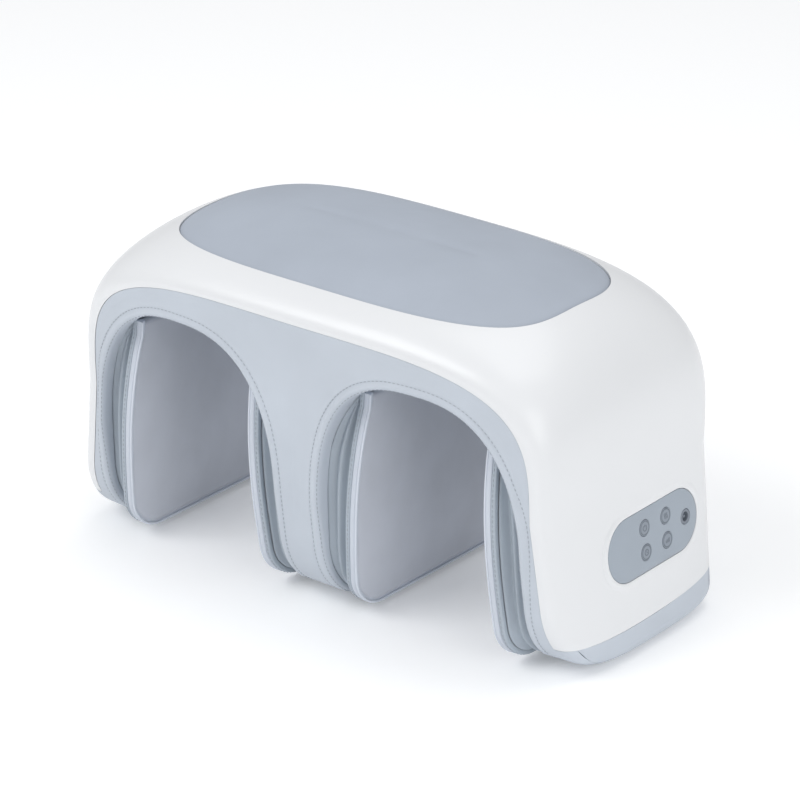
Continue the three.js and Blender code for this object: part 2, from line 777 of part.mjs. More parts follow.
// Hinge line: a round edge just inside the liner, at the hinge angle of the roof.
function hingePoint() {
  const turn = padHingeDegrees * degree;
  const halfWidth = tunnelHalfWidth + linerSetback;
  const rise = tunnelHeight + linerSetback - tunnelSpring;
  const [c, s] = [Math.cos(turn), Math.sin(turn)];
  const x = halfWidth * c ** (2 / tunnelPower);
  const z = rise * s ** (2 / tunnelPower);
  const normal = new THREE.Vector2(
    (x / halfWidth) ** (tunnelPower - 1) / halfWidth, (z / rise) ** (tunnelPower - 1) / rise).normalize();
  const inside = padHalfThickness + padRunGap;
  return [x - normal.x * inside, tunnelSpring + z - normal.y * inside];
}

const [hingeOffset, hingeHeight] = hingePoint();
const padLean = padLeanDegrees * degree;
const padLength = (hingeHeight - padFootHeight) / Math.cos(padLean);

function padToBody({ centre, side }, depth, down, out) {
  return [
    centre + side * (hingeOffset + down * Math.sin(padLean) - out * Math.cos(padLean)),
    depth,
    hingeHeight - down * Math.cos(padLean) - out * Math.sin(padLean),
  ];
}

// Half depth of a pad at a distance down from its top edge, with round corners.
function padHalfDepth(down) {
  const share = down / padLength;
  const side = padTopHalfDepth + (padBottomHalfDepth - padTopHalfDepth) * share;
  const bow = padSideBow * Math.sin(halfTurn * share);
  return side + bow - drawnIn(padTopRadius, down) - drawnIn(padBottomRadius, padLength - down);
}

// One side of the pad's outline from the top down, then the other side back up.
function padOutline() {
  const downs = [];
  for (let i = 0; i < padTopSteps; i += 1) {
    downs.push(padTopRadius * (1 - Math.cos((quarterTurn * i) / padTopSteps)));
  }
  for (let i = 0; i < padSideSteps; i += 1) {
    downs.push(padTopRadius + ((padLength - padTopRadius - padBottomRadius) * i) / padSideSteps);
  }
  for (let i = 0; i <= padBottomSteps; i += 1) {
    downs.push(padLength - padBottomRadius * (1 - Math.sin((quarterTurn * i) / padBottomSteps)));
  }
  const down = downs.map((value) => [padHalfDepth(value), value]);
  const up = down.slice().reverse().map(([depth, value]) => [-depth, value]);
  return [...down, ...up];
}

const padRim = padOutline();

// Unit vector from each outline point towards the inside of the pad.
const padInward = padRim.map((point, i) => {
  const before = padRim[(i + padRim.length - 1) % padRim.length];
  const after = padRim[(i + 1) % padRim.length];
  const along = new THREE.Vector2(after[0] - before[0], after[1] - before[1]).normalize();
  return [-along.y, along.x];
});

function padPoint(i, inset) {
  return [padRim[i][0] + padInward[i][0] * inset, padRim[i][1] + padInward[i][1] * inset];
}

// A ring round the pad, inset from its edge, then drawn in to a share of its size.
function padRing(spot, inset, share, out) {
  const middle = padLength / 2;
  return padRim.map((unused, i) => {
    const [depth, down] = padPoint(i, inset);
    return padToBody(spot, depth * share, middle + (down - middle) * share, out);
  });
}

function makePad(spot) {
  const half = padHalfThickness;
  const seam = 2.2 * half;
  return ringSolid([
    padRing(spot, seam, 0.4, -half),
    padRing(spot, half, 1, -half),
    padRing(spot, half / 4, 1, -half / 1.6),
    padRing(spot, 0, 1, 0),
    padRing(spot, half / 4, 1, half / 1.6),
    padRing(spot, half, 1, half),
    padRing(spot, seam, 1, half - padSeamDrop),
    padRing(spot, 1.6 * seam, 1, half + padCrown / 2),
    padRing(spot, seam, 0.7, half + padCrown),
    padRing(spot, seam, 0.35, half + padCrown),
  ]);
}

// Half width between the flat facets of the liner at a height.
function linerReach(z) {
  const outline = tunnelOutline(0, linerSetback, 0);
  const above = outline.findIndex(([, height]) => height >= z);
  const [[lowX, lowZ], [highX, highZ]] = [outline[above - 1], outline[above]];
  return lowX + ((highX - lowX) * (z - lowZ)) / (highZ - lowZ);
}

// Place past the liner's face, level with a place on the back of a pad and clear of
// the two fascias, by an inset more than the gusset's own.
function wallPoint({ centre, side }, [, depth, z], past, inset = 0) {
  const x = centre + side * (linerReach(z) + past);
  const reach = endDepth(x, z, depth) - fasciaThickness - gussetInset - inset;
  return [x, Math.max(-reach, Math.min(reach, depth)), z];
}

// Trims what lies behind a pad to the face of the liner.
function seatedOnLiner(solid, { centre }) {
  const reach = halfDepth + cutOverrun;
  return solid.intersect(prismAlongY(tunnelOutline(centre, linerSetback - seatGap, 0), -reach, reach));
}

function mixed(a, b, share) {
  return a.map((value, axis) => value + (b[axis] - value) * share);
}

// Pleated gusset: a folded strip that closes the gap behind a pad at the front, the
// bottom and the rear, and is open at the top. Its folds are shallow where the gap is
// narrow.
function makeGusset(spot) {
  const path = padRim.map((unused, i) => i).slice(gussetStart, padRim.length - gussetStart);
  const foldShares = [0, 0.25, 0.5, 0.75, 1];
  const behindPad = (i, inset) => {
    const [depth, down] = padPoint(i, inset);
    return padToBody(spot, depth, down, -padHalfThickness - seatGap);
  };
  const strip = (skin) => path.map((i) => {
    const edge = behindPad(i, gussetInset);
    const room = Math.abs(wallPoint(spot, edge, wallOverlap)[0] - edge[0]);
    const fold = pleatDepth * Math.min(1, room / pleatRoom);
    return foldShares.map((share, crease) => {
      const inset = (crease % 2) * fold + skin * gussetWall;
      const onPad = behindPad(i, gussetInset + inset);
      return mixed(onPad, wallPoint(spot, onPad, wallOverlap, inset), share);
    });
  });
  return seatedOnLiner(toSolid(sheetSolid(strip(0), strip(1))), spot);
}

// Airbag: a flat pillow that lies on the liner behind the pad, with its air nozzle.
function makeAirbag(spot) {
  const middle = padLength / 2;
  const layer = (inset, share) => padRim.map(([depth, down]) => {
    const size = 1 - inset / padTopHalfDepth;
    const onPad = padToBody(
      spot, depth * size, middle + (down - middle) * size, -padHalfThickness - airbagClearance);
    return mixed(onPad, wallPoint(spot, onPad, -2 * seatGap, inset - gussetInset), share);
  });
  const pillow = toSolid(ringSolid([
    layer(airbagInset + pleatDepth, 0.3),
    layer(airbagInset, 0.5),
    layer(airbagInset, 0.85),
    layer(airbagInset + pleatDepth, 1),
  ]));
  const wall = spot.centre + spot.side * (tunnelHalfWidth + linerSetback);
  const tip = wall + spot.side * nozzleLength;
  const root = wall - spot.side * 3 * linerWall;
  const [low, high] = [Math.min(root, tip), Math.max(root, tip)];
  const nozzle = levelBar(nozzleRadius, low, high, 0, nozzleHeight, smallRoundSteps);
  return pillow.add(nozzle);
}

// Control panel parts

function makeOverlay() {
  const chamfer = overlayThickness / 4;
  const holes = keyPlaces.map((spot) => panelBar(keyRadius + keyHoleGap, spot, -cutOverrun, cutOverrun));
  holes.push(panelBar(socketRadius + keyHoleGap, [socketOffset, 0], -cutOverrun, cutOverrun));
  const plate = panelPlate([[0, seatGap], [0, overlayTop - chamfer], [-chamfer, overlayTop]]);
  return plate.subtract(joined(holes));
}

const flangeTop = -(shellWall + seatGap);
const flangeBottom = flangeTop - keyFlangeThickness;

// A round key: a cap with a soft edge, a flange that keeps it in, and a stem.
function makeKey([x, y]) {
  const top = overlayTop + keyProud;
  const edge = keyProud * 1.4;
  const dish = keyProud / 2;
  const profile = [
    [0, flangeBottom - keyStemLength],
    [keyStemRadius, flangeBottom - keyStemLength],
    [keyStemRadius, flangeBottom],
    [keyFlangeRadius, flangeBottom],
    [keyFlangeRadius, flangeTop],
    [keyRadius, flangeTop],
    [keyRadius, top - edge],
    [keyRadius - edge, top],
    [keyRadius * 0.6, top - dish / 2],
    [0, top - dish],
  ].map(([radius, height]) => new THREE.Vector2(radius, height));
  const key = new THREE.LatheGeometry(profile, roundSteps).rotateX(quarterTurn);
  return onPanel(moved(key, x, y, 0));
}

function makeSocket() {
  const top = overlayTop;
  const low = top - socketLength;
  const pinTop = top - socketBoreRadius;
  const profile = [
    [0, low],
    [socketRadius, low],
    [socketRadius, flangeBottom],
    [socketFlangeRadius, flangeBottom],
    [socketFlangeRadius, flangeTop],
    [socketRadius, flangeTop],
    [socketRadius, top],
    [socketBoreRadius, top],
    [socketBoreRadius, low + socketPinRadius],
    [socketPinRadius, low + socketPinRadius],
    [socketPinRadius, pinTop],
    [0, pinTop],
  ].map(([radius, height]) => new THREE.Vector2(radius, height));
  const socket = new THREE.LatheGeometry(profile, roundSteps).rotateX(quarterTurn);
  return onPanel(moved(socket, socketOffset, 0, 0));
}

// Board with a tact switch soldered under each key
function makeKeyBoard() {
  const low = boardTop - boardThickness;
  const plate = panelBlock(keyColumnOffset, 0, keyBoardHalfLength, keyBoardHalfHeight, low, boardTop);
  const holes = keyBossSpots().map((spot) => (
    panelBar(screwRadius + screwHoleGap, spot, low - cutOverrun, boardTop + cutOverrun, smallRoundSteps)));
  const switches = keyPlaces.flatMap(([x, y]) => [
    panelBlock(x, y, switchSide / 2, switchSide / 2, low + boardThickness / 2, boardTop + switchHeight),
    panelBar(plungerRadius, [x, y], boardTop + switchHeight / 2, switchTop, smallRoundSteps),
  ]);
  return plate.subtract(joined(holes)).add(joined(switches));
}

function makeKeyBoardScrew(spot) {
  const seat = boardTop - boardThickness - seatGap;
  const shank = -shellWall - seatGap;
  return panelBar(screwHeadRadius, spot, seat - screwHeadHeight, seat, smallRoundSteps)
    .add(panelBar(screwRadius - 2 * screwPilotGap, spot, seat - screwHeadHeight / 2, shank, smallRoundSteps));
}

// Upright screw with a plain round head; its seat is the underside of what it holds.
function makeScrew([x, y], seat, length) {
  return uprightBar(screwHeadRadius, x, y, seat - screwHeadHeight, seat, smallRoundSteps)
    .add(uprightBar(screwRadius, x, y, seat - screwHeadHeight / 2, seat + length, smallRoundSteps));
}

const shellScrewSeat = trayHeight - frameWall - seatGap;
const baseScrewSeat = soleHeight + footPocketDepth + baseCounterbore - seatGap;

// Chassis: two cross frames round the tunnels, a tray between them and a centre spine

function makeChassis() {
  const wide = rimHalfWidth + bodyHeight;
  const frame = (end) => {
    const middle = end * frameDepth;
    return block(-wide, wide, middle - frameWall / 2, middle + frameWall / 2, frameFootHeight, bodyHeight);
  };
  const windows = [-1, 0, 1].map((side) => {
    const middle = (side * (trayHalfLength + windowHalfLength)) / 2;
    const low = trayHeight + windowSill;
    return block(middle - windowHalfLength, middle + windowHalfLength, -halfDepth, halfDepth, low, low + windowHeight);
  });
  const tray = block(
    -trayHalfLength, trayHalfLength, -trayHalfDepth, trayHalfDepth, trayHeight - frameWall, trayHeight);
  const rims = [-1, 1].map((side) => {
    const outside = side * trayHalfLength;
    const inside = outside - side * frameWall;
    const [low, high] = [Math.min(outside, inside), Math.max(outside, inside)];
    return block(low, high, -trayHalfDepth, trayHalfDepth, trayHeight - frameWall, trayHeight + trayRimHeight);
  });
  const spine = block(
    -frameWall / 2, frameWall / 2, -frameDepth, frameDepth, frameFootHeight, trayHeight - frameWall);
  const footLow = edgeHeight(1);
  const feet = footSpots.map(([x, y]) => (
    uprightBar(footBossRadius, x, y, footLow, footLow + baseScrewLength, smallRoundSteps)));
  const pilots = footSpots.map(([x, y]) => (
    uprightBar(screwRadius + screwPilotGap, x, y, 0, baseScrewSeat + baseScrewLength + seatGap, smallRoundSteps)));
  const screwHoles = screwSpots.map(([x, y]) => (
    uprightBar(screwRadius + screwHoleGap, x, y, trayHeight - cutOverrun, trayHeight + cutOverrun, smallRoundSteps)));
  const bossRoom = screwSpots.map(([x, y]) => (
    uprightBar(shellBossRadius + seatGap, x, y, trayHeight, bodyHeight, smallRoundSteps)));
  const hoseHoles = [-1, 1].map((side) => (
    uprightBar(
      hoseHoleRadius, side * 2 * hoseHoleRadius, side * hoseLane,
      trayHeight - cutOverrun, trayHeight + cutOverrun, smallRoundSteps)));
  const keyRoom = panelBlock(
    keyColumnOffset, 0, keyBoardHalfLength + frameClearance, keyBoardHalfHeight + frameClearance,
    boardTop - boardThickness - screwHeadHeight - frameClearance, 0);
  return joined([frame(-1), frame(1)])
    .subtract(joined(windows))
    .add(joined([tray, ...rims, spine, ...feet]))
    .subtract(joined([...pilots, ...screwHoles, ...bossRoom, ...hoseHoles, keyRoom]))
    .subtract(tunnels.outside)
    .intersect(shellInside(seatGap));
}

// Works on the tray

const hoseLane = frameDepth - frameWall / 2 - 2 * hoseRadius;
const trayTop = trayHeight + seatGap;
const pumpAxis = trayTop + cradleWall + seatGap + pumpRadius;
const barbHeight = trayTop + valveBlockHeight / 2;

function makePump() {
  const left = pumpOffset - pumpLength / 2;
  const motor = levelBar(pumpRadius, left, left + pumpLength, 0, pumpAxis);
  const nose = levelBar(pumpRadius / 3, left - pumpHeadLength / 4, left, 0, pumpAxis, smallRoundSteps);
  const half = pumpHeadSide / 2;
  const end = left + pumpLength;
  const head = block(end, end + pumpHeadLength, -half, half, pumpAxis - half, pumpAxis + half / 2);
  const outlet = levelBar(barbRadius, end, end + pumpHeadLength + barbLength, 0, barbHeight, smallRoundSteps);
  return joined([motor, nose.add(motor), head, outlet]);
}

// Rubber cradle: two saddles on one floor, under the pump's motor
function makeCradle() {
  const width = pumpRadius + seatGap + cradleWall;
  const spread = pumpLength / 3.6;
  const [low, high] = [pumpOffset - spread, pumpOffset + spread];
  const saddles = [low, high].map((middle) => (
    block(middle - cradleLength / 2, middle + cradleLength / 2, -width, width, trayTop, pumpAxis)));
  const floor = block(low, high, -width / 2, width / 2, trayTop, trayTop + cradleFloor);
  const room = levelBar(pumpRadius + seatGap, low - 2 * cutOverrun, high + 2 * cutOverrun, 0, pumpAxis);
  return joined([...saddles, floor]).subtract(room);
}

const batteryAxis = trayTop + batteryRadius;

function makeBattery() {
  const cells = [-1, 1].map((side) => (
    levelBar(batteryRadius, batteryLow, batteryHigh, (side * batterySpacing) / 2, batteryAxis)));
  const cap = batteryRadius / 4;
  const wrap = block(
    batteryLow + cap, batteryHigh - cap, -batterySpacing / 2, batterySpacing / 2,
    batteryAxis - batteryRadius, batteryAxis + batteryRadius);
  return joined([...cells, wrap]);
}

function makeBatteryStrap() {
  const arch = (grow, low) => {
    const radius = batteryRadius + grow;
    const half = batterySpacing / 2;
    const outline = [];
    for (let i = 0; i <= smallRoundSteps / 2; i += 1) {
      const turn = (quarterTurn * i) / (smallRoundSteps / 2);
      outline.push([half + radius * Math.cos(turn), batteryAxis + radius * Math.sin(turn)]);
    }
    const mirror = outline.slice().reverse().map(([y, z]) => [-y, z]);
    return [[half + radius, low], ...outline, ...mirror, [-half - radius, low]];
  };
  const [lowX, highX] = [batteryOffset - strapWidth / 2, batteryOffset + strapWidth / 2];
  const outer = prismAlongX(arch(seatGap + strapThickness, trayTop), lowX, highX);
  const inner = prismAlongX(arch(seatGap, trayTop - cutOverrun), lowX - cutOverrun, highX + cutOverrun);
  const foot = batterySpacing / 2 + batteryRadius + seatGap;
  const feet = [-1, 1].map((side) => {
    const [near, far] = [side * foot, side * (foot + 3 * strapThickness)];
    return block(lowX, highX, Math.min(near, far), Math.max(near, far), trayTop, trayTop + strapThickness);
  });
  return outer.subtract(inner).add(joined(feet));
}

const blockTop = trayTop + valveBlockHeight;
const barbShares = [-0.36, 0.36];

function makeValveBlock() {
  const half = valveBlockLength / 2;
  const body = block(
    valveBlockOffset - half, valveBlockOffset + half, -valveBlockDepth / 2, valveBlockDepth / 2,
    trayTop, blockTop);
  const barbs = [-1, 1].flatMap((end) => barbShares.map((share) => {
    const bar = new THREE.CylinderGeometry(barbRadius, barbRadius, 2 * barbLength, smallRoundSteps);
    const x = valveBlockOffset + share * valveBlockLength;
    return toSolid(moved(bar, x, (end * valveBlockDepth) / 2, barbHeight));
  }));
  return joined([body, ...barbs]);
}

// Four solenoid valves on one mounting plate
function makeValves() {
  const pitch = valveBlockLength / 4;
  const low = blockTop + seatGap;
  const half = 1.5 * pitch + valveRadius / 2;
  const plate = block(
    valveBlockOffset - half, valveBlockOffset + half, -valveRadius, valveRadius, low, low + valvePlateThickness);
  const valves = [-1.5, -0.5, 0.5, 1.5].map((place) => (
    uprightBar(valveRadius, valveBlockOffset + place * pitch, 0, low, blockTop + valveHeight, smallRoundSteps)));
  return joined([plate, ...valves]);
}

const boardLow = trayTop + standoffHeight;

function makeMainBoard() {
  const half = { x: mainBoardLength / 2, y: mainBoardDepth / 2 };
  const middle = mainBoardOffset;
  const board = block(middle - half.x, middle + half.x, -half.y, half.y, boardLow, boardLow + boardThickness);
  const top = boardLow + boardThickness;
  const chip = block(
    middle - chipSide / 2, middle + chipSide / 2, -chipSide / 2, chipSide / 2,
    boardLow + boardThickness / 2, top + chipHeight);
  const capacitor = uprightBar(
    chipSide / 3, middle + half.x / 2, half.y / 2, boardLow + boardThickness / 2, top + chipSide, smallRoundSteps);
  const plug = block(
    middle - half.x, middle - half.x + chipSide / 2, -chipSide, chipSide / 3,
    boardLow + boardThickness / 2, top + chipSide / 2);
  const legs = [-1, 1].flatMap((side) => [-1, 1].map((end) => {
    const x = middle + side * (half.x - standoffRadius);
    const y = end * (half.y - standoffRadius);
    return uprightBar(standoffRadius, x, y, trayTop, boardLow + boardThickness / 2, smallRoundSteps);
  }));
  return joined([board, chip, capacitor, plug, ...legs]);
}

// Air hoses from the barbs of the valve block, over the tray's side or through its
// hose holes, down to the nozzle of each airbag.
function hoseRoute({ centre, side }) {
  const toward = Math.sign(centre);
  const outer = toward === side;
  const lane = toward * hoseLane;
  const share = barbShares[outer ? 1 : 0];
  const startX = valveBlockOffset + share * valveBlockLength;
  const startY = toward * (valveBlockDepth / 2 + barbLength + seatGap);
  const nozzle = centre + side * (tunnelHalfWidth + linerSetback + nozzleLength + seatGap);
  const points = [[startX, startY, barbHeight], [startX, startY + toward * hoseRadius, barbHeight]];
  if (outer) {
    points.push(
      [startX + toward * 3 * hoseRadius, lane, barbHeight + hoseLift],
      [startX + toward * 8 * hoseRadius, lane, barbHeight + hoseLift],
      [toward * (trayHalfLength - 8 * hoseRadius), lane, barbHeight + hoseLift],
      [toward * trayHalfLength, lane, barbHeight + hoseLift],
      [toward * (trayHalfLength + 8 * hoseRadius), lane * 0.8, trayHeight + hoseRadius],
      [nozzle - toward * hoseRadius / 2, lane * 0.4, hingeHeight],
      [nozzle + toward * 2.8 * hoseRadius, 0, nozzleHeight + 9 * hoseRadius],
    );
  } else {
    points.push(
      [toward * 4 * hoseHoleRadius, lane, barbHeight],
      [toward * 2 * hoseHoleRadius, lane, trayHeight + hoseRadius],
      [toward * 2 * hoseHoleRadius, lane, trayHeight - 5 * hoseRadius],
      [nozzle + side * 2 * hoseRadius, lane / 3, nozzleHeight + 14 * hoseRadius],
    );
  }
  const bend = 2.5 * hoseRadius;
  points.push(
    [nozzle + side * bend, 0, nozzleHeight + 1.6 * bend],
    [nozzle + side * 0.9 * bend, 0, nozzleHeight + bend / 2],
    [nozzle + side * 0.5 * bend, 0, nozzleHeight],
    [nozzle, 0, nozzleHeight],
  );
  return points.map(([x, y, z]) => new THREE.Vector3(x, y, z));
}

function tube(points, radius, steps) {
  const ring = new THREE.Shape();
  ring.setFromPoints(Array.from({ length: hoseSides }, (unused, i) => {
    const turn = (fullTurn * i) / hoseSides;
    return new THREE.Vector2(radius * Math.cos(turn), radius * Math.sin(turn));
  }));
  const route = new THREE.CatmullRomCurve3(points, false, 'centripetal');
  return toSolid(new THREE.ExtrudeGeometry(ring, { extrudePath: route, steps, bevelEnabled: false }));
}

function makeSupplyHose() {
  const blockEnd = pumpBarbEnd + supplyHoseLength;
  return levelBar(hoseRadius, pumpBarbEnd + seatGap, blockEnd - seatGap, 0, barbHeight, smallRoundSteps);
}

// Assembly

addPart('outer_shell', toGeometry(makeShell()), 'white');
const [frontFascia, rearFascia] = makeFascias();
addPart('front_fascia', toGeometry(frontFascia), 'leather');
addPart('rear_fascia', toGeometry(rearFascia), 'leather');
const [leftBase, centreBase, rightBase] = makeLegBases();
addPart('left_leg_base', toGeometry(leftBase), 'leather');
addPart('centre_leg_base', toGeometry(centreBase), 'leather');
addPart('right_leg_base', toGeometry(rightBase), 'leather');
legs.forEach(({ name, x }) => addPart(`${name}_foot_pad`, toGeometry(makeFootPad(x)), 'rubber'));
addPart('left_tunnel_liner', toGeometry(makeLiner(-tunnelOffset)), 'leather');
addPart('right_tunnel_liner', toGeometry(makeLiner(tunnelOffset)), 'leather');
addPart('top_cushion', toGeometry(makeCushion()), 'leather');
padSpots.forEach((spot) => {
  addPart(`${spot.name}_pad`, makePad(spot), 'velvet');
  addPart(`${spot.name}_gusset`, toGeometry(makeGusset(spot)), 'leather');
  addPart(`${spot.name}_airbag`, toGeometry(makeAirbag(spot)), 'bladder');
});
addPart('control_overlay', toGeometry(makeOverlay()), 'greyPlastic');
['power_key', 'mode_key', 'heat_key', 'level_key'].forEach((name, i) => {
  addPart(name, toGeometry(makeKey(keyPlaces[i])), 'keyPlastic');
});
addPart('charging_socket', toGeometry(makeSocket()), 'darkPlastic');
addPart('key_board', toGeometry(makeKeyBoard()), 'board');
addPart('chassis', toGeometry(makeChassis()), 'framePlastic');
screwSpots.forEach((spot, i) => {
  addPart(`shell_screw_${i + 1}`, toGeometry(makeScrew(spot, shellScrewSeat, shellScrewLength)), 'steel');
});
footSpots.forEach((spot, i) => {
  addPart(`base_screw_${i + 1}`, toGeometry(makeScrew(spot, baseScrewSeat, baseScrewLength)), 'steel');
});
keyBossSpots().forEach((spot, i) => {
  addPart(`key_board_screw_${i + 1}`, toGeometry(makeKeyBoardScrew(spot)), 'steel');
});
addPart('air_pump', toGeometry(makePump()), 'steel');
addPart('pump_cradle', toGeometry(makeCradle()), 'rubber');
addPart('battery_pack', toGeometry(makeBattery()), 'cell');
addPart('battery_strap', toGeometry(makeBatteryStrap()), 'darkPlastic');
addPart('valve_block', toGeometry(makeValveBlock()), 'darkPlastic');
addPart('solenoid_valves', toGeometry(makeValves()), 'steel');
addPart('main_board', toGeometry(makeMainBoard()), 'board');
addPart('supply_hose', toGeometry(makeSupplyHose()), 'hose');
padSpots.forEach((spot) => {
  addPart(`${spot.name}_hose`, toGeometry(tube(hoseRoute(spot), hoseRadius, hoseSteps)), 'hose');
});

export default massager;
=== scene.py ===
import json
from math import ceil, copysign, cos, hypot, pi, radians, sin, sqrt

import bmesh
import bpy
import numpy as np
from mathutils import Matrix, Vector
from mathutils.geometry import delaunay_2d_cdt


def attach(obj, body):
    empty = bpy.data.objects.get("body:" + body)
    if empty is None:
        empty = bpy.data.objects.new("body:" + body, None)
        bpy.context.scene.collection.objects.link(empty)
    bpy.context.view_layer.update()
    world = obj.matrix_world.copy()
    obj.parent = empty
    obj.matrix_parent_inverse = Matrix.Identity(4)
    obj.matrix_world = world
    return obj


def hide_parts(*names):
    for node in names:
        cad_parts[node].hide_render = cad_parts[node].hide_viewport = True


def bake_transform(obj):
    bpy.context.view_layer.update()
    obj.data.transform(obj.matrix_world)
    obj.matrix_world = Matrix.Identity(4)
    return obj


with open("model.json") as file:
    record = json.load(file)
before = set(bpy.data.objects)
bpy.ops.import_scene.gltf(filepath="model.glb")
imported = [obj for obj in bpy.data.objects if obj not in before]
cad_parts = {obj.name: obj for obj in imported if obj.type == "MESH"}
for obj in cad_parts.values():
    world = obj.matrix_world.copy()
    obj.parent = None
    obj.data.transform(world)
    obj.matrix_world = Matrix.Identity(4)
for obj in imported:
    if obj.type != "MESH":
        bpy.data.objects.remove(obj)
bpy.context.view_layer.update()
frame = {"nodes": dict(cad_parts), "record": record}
print("frame: loaded", len(frame["nodes"]), "nodes")

# Metres, +Z up, -Y to the front, +X to the side of the control panel.
mm = 0.001
fineMerge = 0.0005 * mm

form = {
    "height": 234 * mm,
    "rimHeight": 203 * mm,
    "springHeight": 110 * mm,
    "rimHalfWidth": 181 * mm,
    "sideBulge": 17.5 * mm,
    "halfDepth": 101 * mm,
    "rimBow": 8.4 * mm,
    "frontCurl": 50 * mm,
    "rearCurl": 16 * mm,
    "footRadius": 12 * mm,
    "sole": 1.5 * mm,
    "leanShare": 0.04,
    "flareShare": 0.12,
    "cornerPower": 3.7,
    "sidePower": 3.0,
    "crownPower": 1.9,
    "gap": 0.3 * mm,
}

tunnel = {
    "offset": 96 * mm,
    "halfWidth": 77.4 * mm,
    "height": 178 * mm,
    "spring": 69.5 * mm,
    "power": 2.56,
    "linerSetback": 1 * mm,
    "linerWall": 2.5 * mm,
    "linerFoot": 3 * mm,
    "steps": 90,
}


# Form of the body, as in the part's source

def roundness(share, power):
    return (1 - min(1.0, abs(share)) ** power) ** (1 / power)


def drawnIn(radius, height):
    below = min(radius, max(0.0, radius - height))
    return radius - sqrt(radius ** 2 - below ** 2)


def endDepth(x, z, end):
    # From the middle plane to the front face, or to the rear one where end is positive.
    bow = form["rimBow"] * (x / form["rimHalfWidth"]) ** 2
    lean = form["leanShare"] * max(0.0, form["rimHeight"] - z)
    curl = form["rearCurl"] if end > 0 else form["frontCurl"]
    return form["halfDepth"] - bow - lean - drawnIn(curl, z - form["sole"])


def sideDepth(z, end):
    return endDepth(form["rimHalfWidth"], z, end)


def skinHalfWidth(share, z, inset=0.0):
    barrel = form["rimHalfWidth"] + form["sideBulge"] * roundness(share, form["sidePower"])
    flare = form["flareShare"] * max(0.0, form["springHeight"] - z)
    return barrel + flare - drawnIn(form["footRadius"], z - form["sole"]) - inset


def skinHeight(share, inset=0.0):
    rise = form["height"] - form["rimHeight"]
    return form["rimHeight"] + rise * roundness(share, form["crownPower"]) - inset


def skinTop(x, y):
    share = y / endDepth(x, form["rimHeight"], y)
    width = skinHalfWidth(share, form["springHeight"])
    rise = skinHeight(share) - form["springHeight"]
    return form["springHeight"] + rise * roundness(x / width, form["cornerPower"])


def superPoint(halfLength, halfWidth, power, turn):
    c, s = cos(turn), sin(turn)
    return (copysign(halfLength * abs(c) ** (2 / power), c),
            copysign(halfWidth * abs(s) ** (2 / power), s))


def skinLine(share, low, inset, wallSteps, cornerSteps):
    # The skin in X and Z, from the height low at the right over the top to the left.
    spring = form["springHeight"]
    heights = [low + (spring - low) * i / wallSteps for i in range(wallSteps)]
    half = [(skinHalfWidth(share, z, inset), z) for z in heights]
    width = skinHalfWidth(share, spring, inset)
    rise = skinHeight(share, inset) - spring
    for i in range(cornerSteps):
        x, z = superPoint(width, rise, form["cornerPower"], pi / 2 * i / cornerSteps)
        half.append((x, spring + z))
    return half + [(0.0, spring + rise)] + mirrored(half)


def mirrored(points):
    return [(-x, z) for x, z in reversed(points)]


def archLine(centre, offset, bottom, steps):
    # Outline of a tunnel, from the right foot over the roof to the left foot.
    spring = tunnel["spring"]
    halfWidth = tunnel["halfWidth"] + offset
    rise = tunnel["height"] + offset - spring
    footSteps = steps // 5
    foot = [(halfWidth, bottom + (spring - bottom) * i / footSteps) for i in range(footSteps)]
    roof = [superPoint(halfWidth, rise, tunnel["power"], pi * i / steps) for i in range(steps + 1)]
    line = foot + [(x, spring + z) for x, z in roof] + mirrored(foot)
    return [(centre + x, z) for x, z in line]


def evenly(points, count, closed=False):
    # The same line with its points evenly spaced.
    line = np.array(points, float)
    if closed:
        line = np.vstack([line, line[:1]])
    steps = np.linalg.norm(np.diff(line, axis=0), axis=1)
    along = np.concatenate([[0.0], np.cumsum(steps)])
    wanted = np.linspace(0, along[-1], count, endpoint=not closed)
    return np.stack([np.interp(wanted, along, values) for values in line.T], axis=1)


def spacedOut(points, spacing):
    length = np.linalg.norm(np.diff(np.array(points, float), axis=0), axis=1).sum()
    return evenly(points, max(2, ceil(length / spacing)))


def leftOf(along):
    # Unit vectors that point to the left of these.
    along = along / np.linalg.norm(along, axis=1)[:, None]
    return np.stack([-along[:, 1], along[:, 0]], axis=1)


def circle(radius, steps, x=0.0, y=0.0):
    return [(x + radius * cos(2 * pi * i / steps), y + radius * sin(2 * pi * i / steps))
            for i in range(steps)]


# Meshes

def addObject(name, data):
    piece = bpy.data.objects.new(name, data)
    bpy.context.scene.collection.objects.link(piece)
    return piece


def addPiece(name, verts, faces, smoothAngle=40, merge=0.002 * mm):
    mesh = bpy.data.meshes.new(name)
    mesh.from_pydata([tuple(v) for v in verts], [], [tuple(f) for f in faces])
    turnOutwards(mesh, merge)
    return shadeSmooth(addObject(name, mesh), smoothAngle)


def turnOutwards(mesh, merge):
    work = bmesh.new()
    work.from_mesh(mesh)
    bmesh.ops.remove_doubles(work, verts=work.verts, dist=merge)
    bmesh.ops.dissolve_degenerate(work, edges=work.edges, dist=merge)
    bmesh.ops.recalc_face_normals(work, faces=work.faces)
    work.to_mesh(mesh)
    work.free()


def shadeSmooth(piece, angle):
    piece.data.shade_smooth()
    piece.data.set_sharp_from_angle(angle=radians(angle))
    return piece


def finishMesh(piece, angle=None):
    # Applies the modifiers and leaves a plain mesh.
    graph = bpy.context.evaluated_depsgraph_get()
    made = bpy.data.meshes.new_from_object(piece.evaluated_get(graph))
    piece.modifiers.clear()
    old, piece.data = piece.data, made
    bpy.data.meshes.remove(old)
    return piece if angle is None else shadeSmooth(piece, angle)


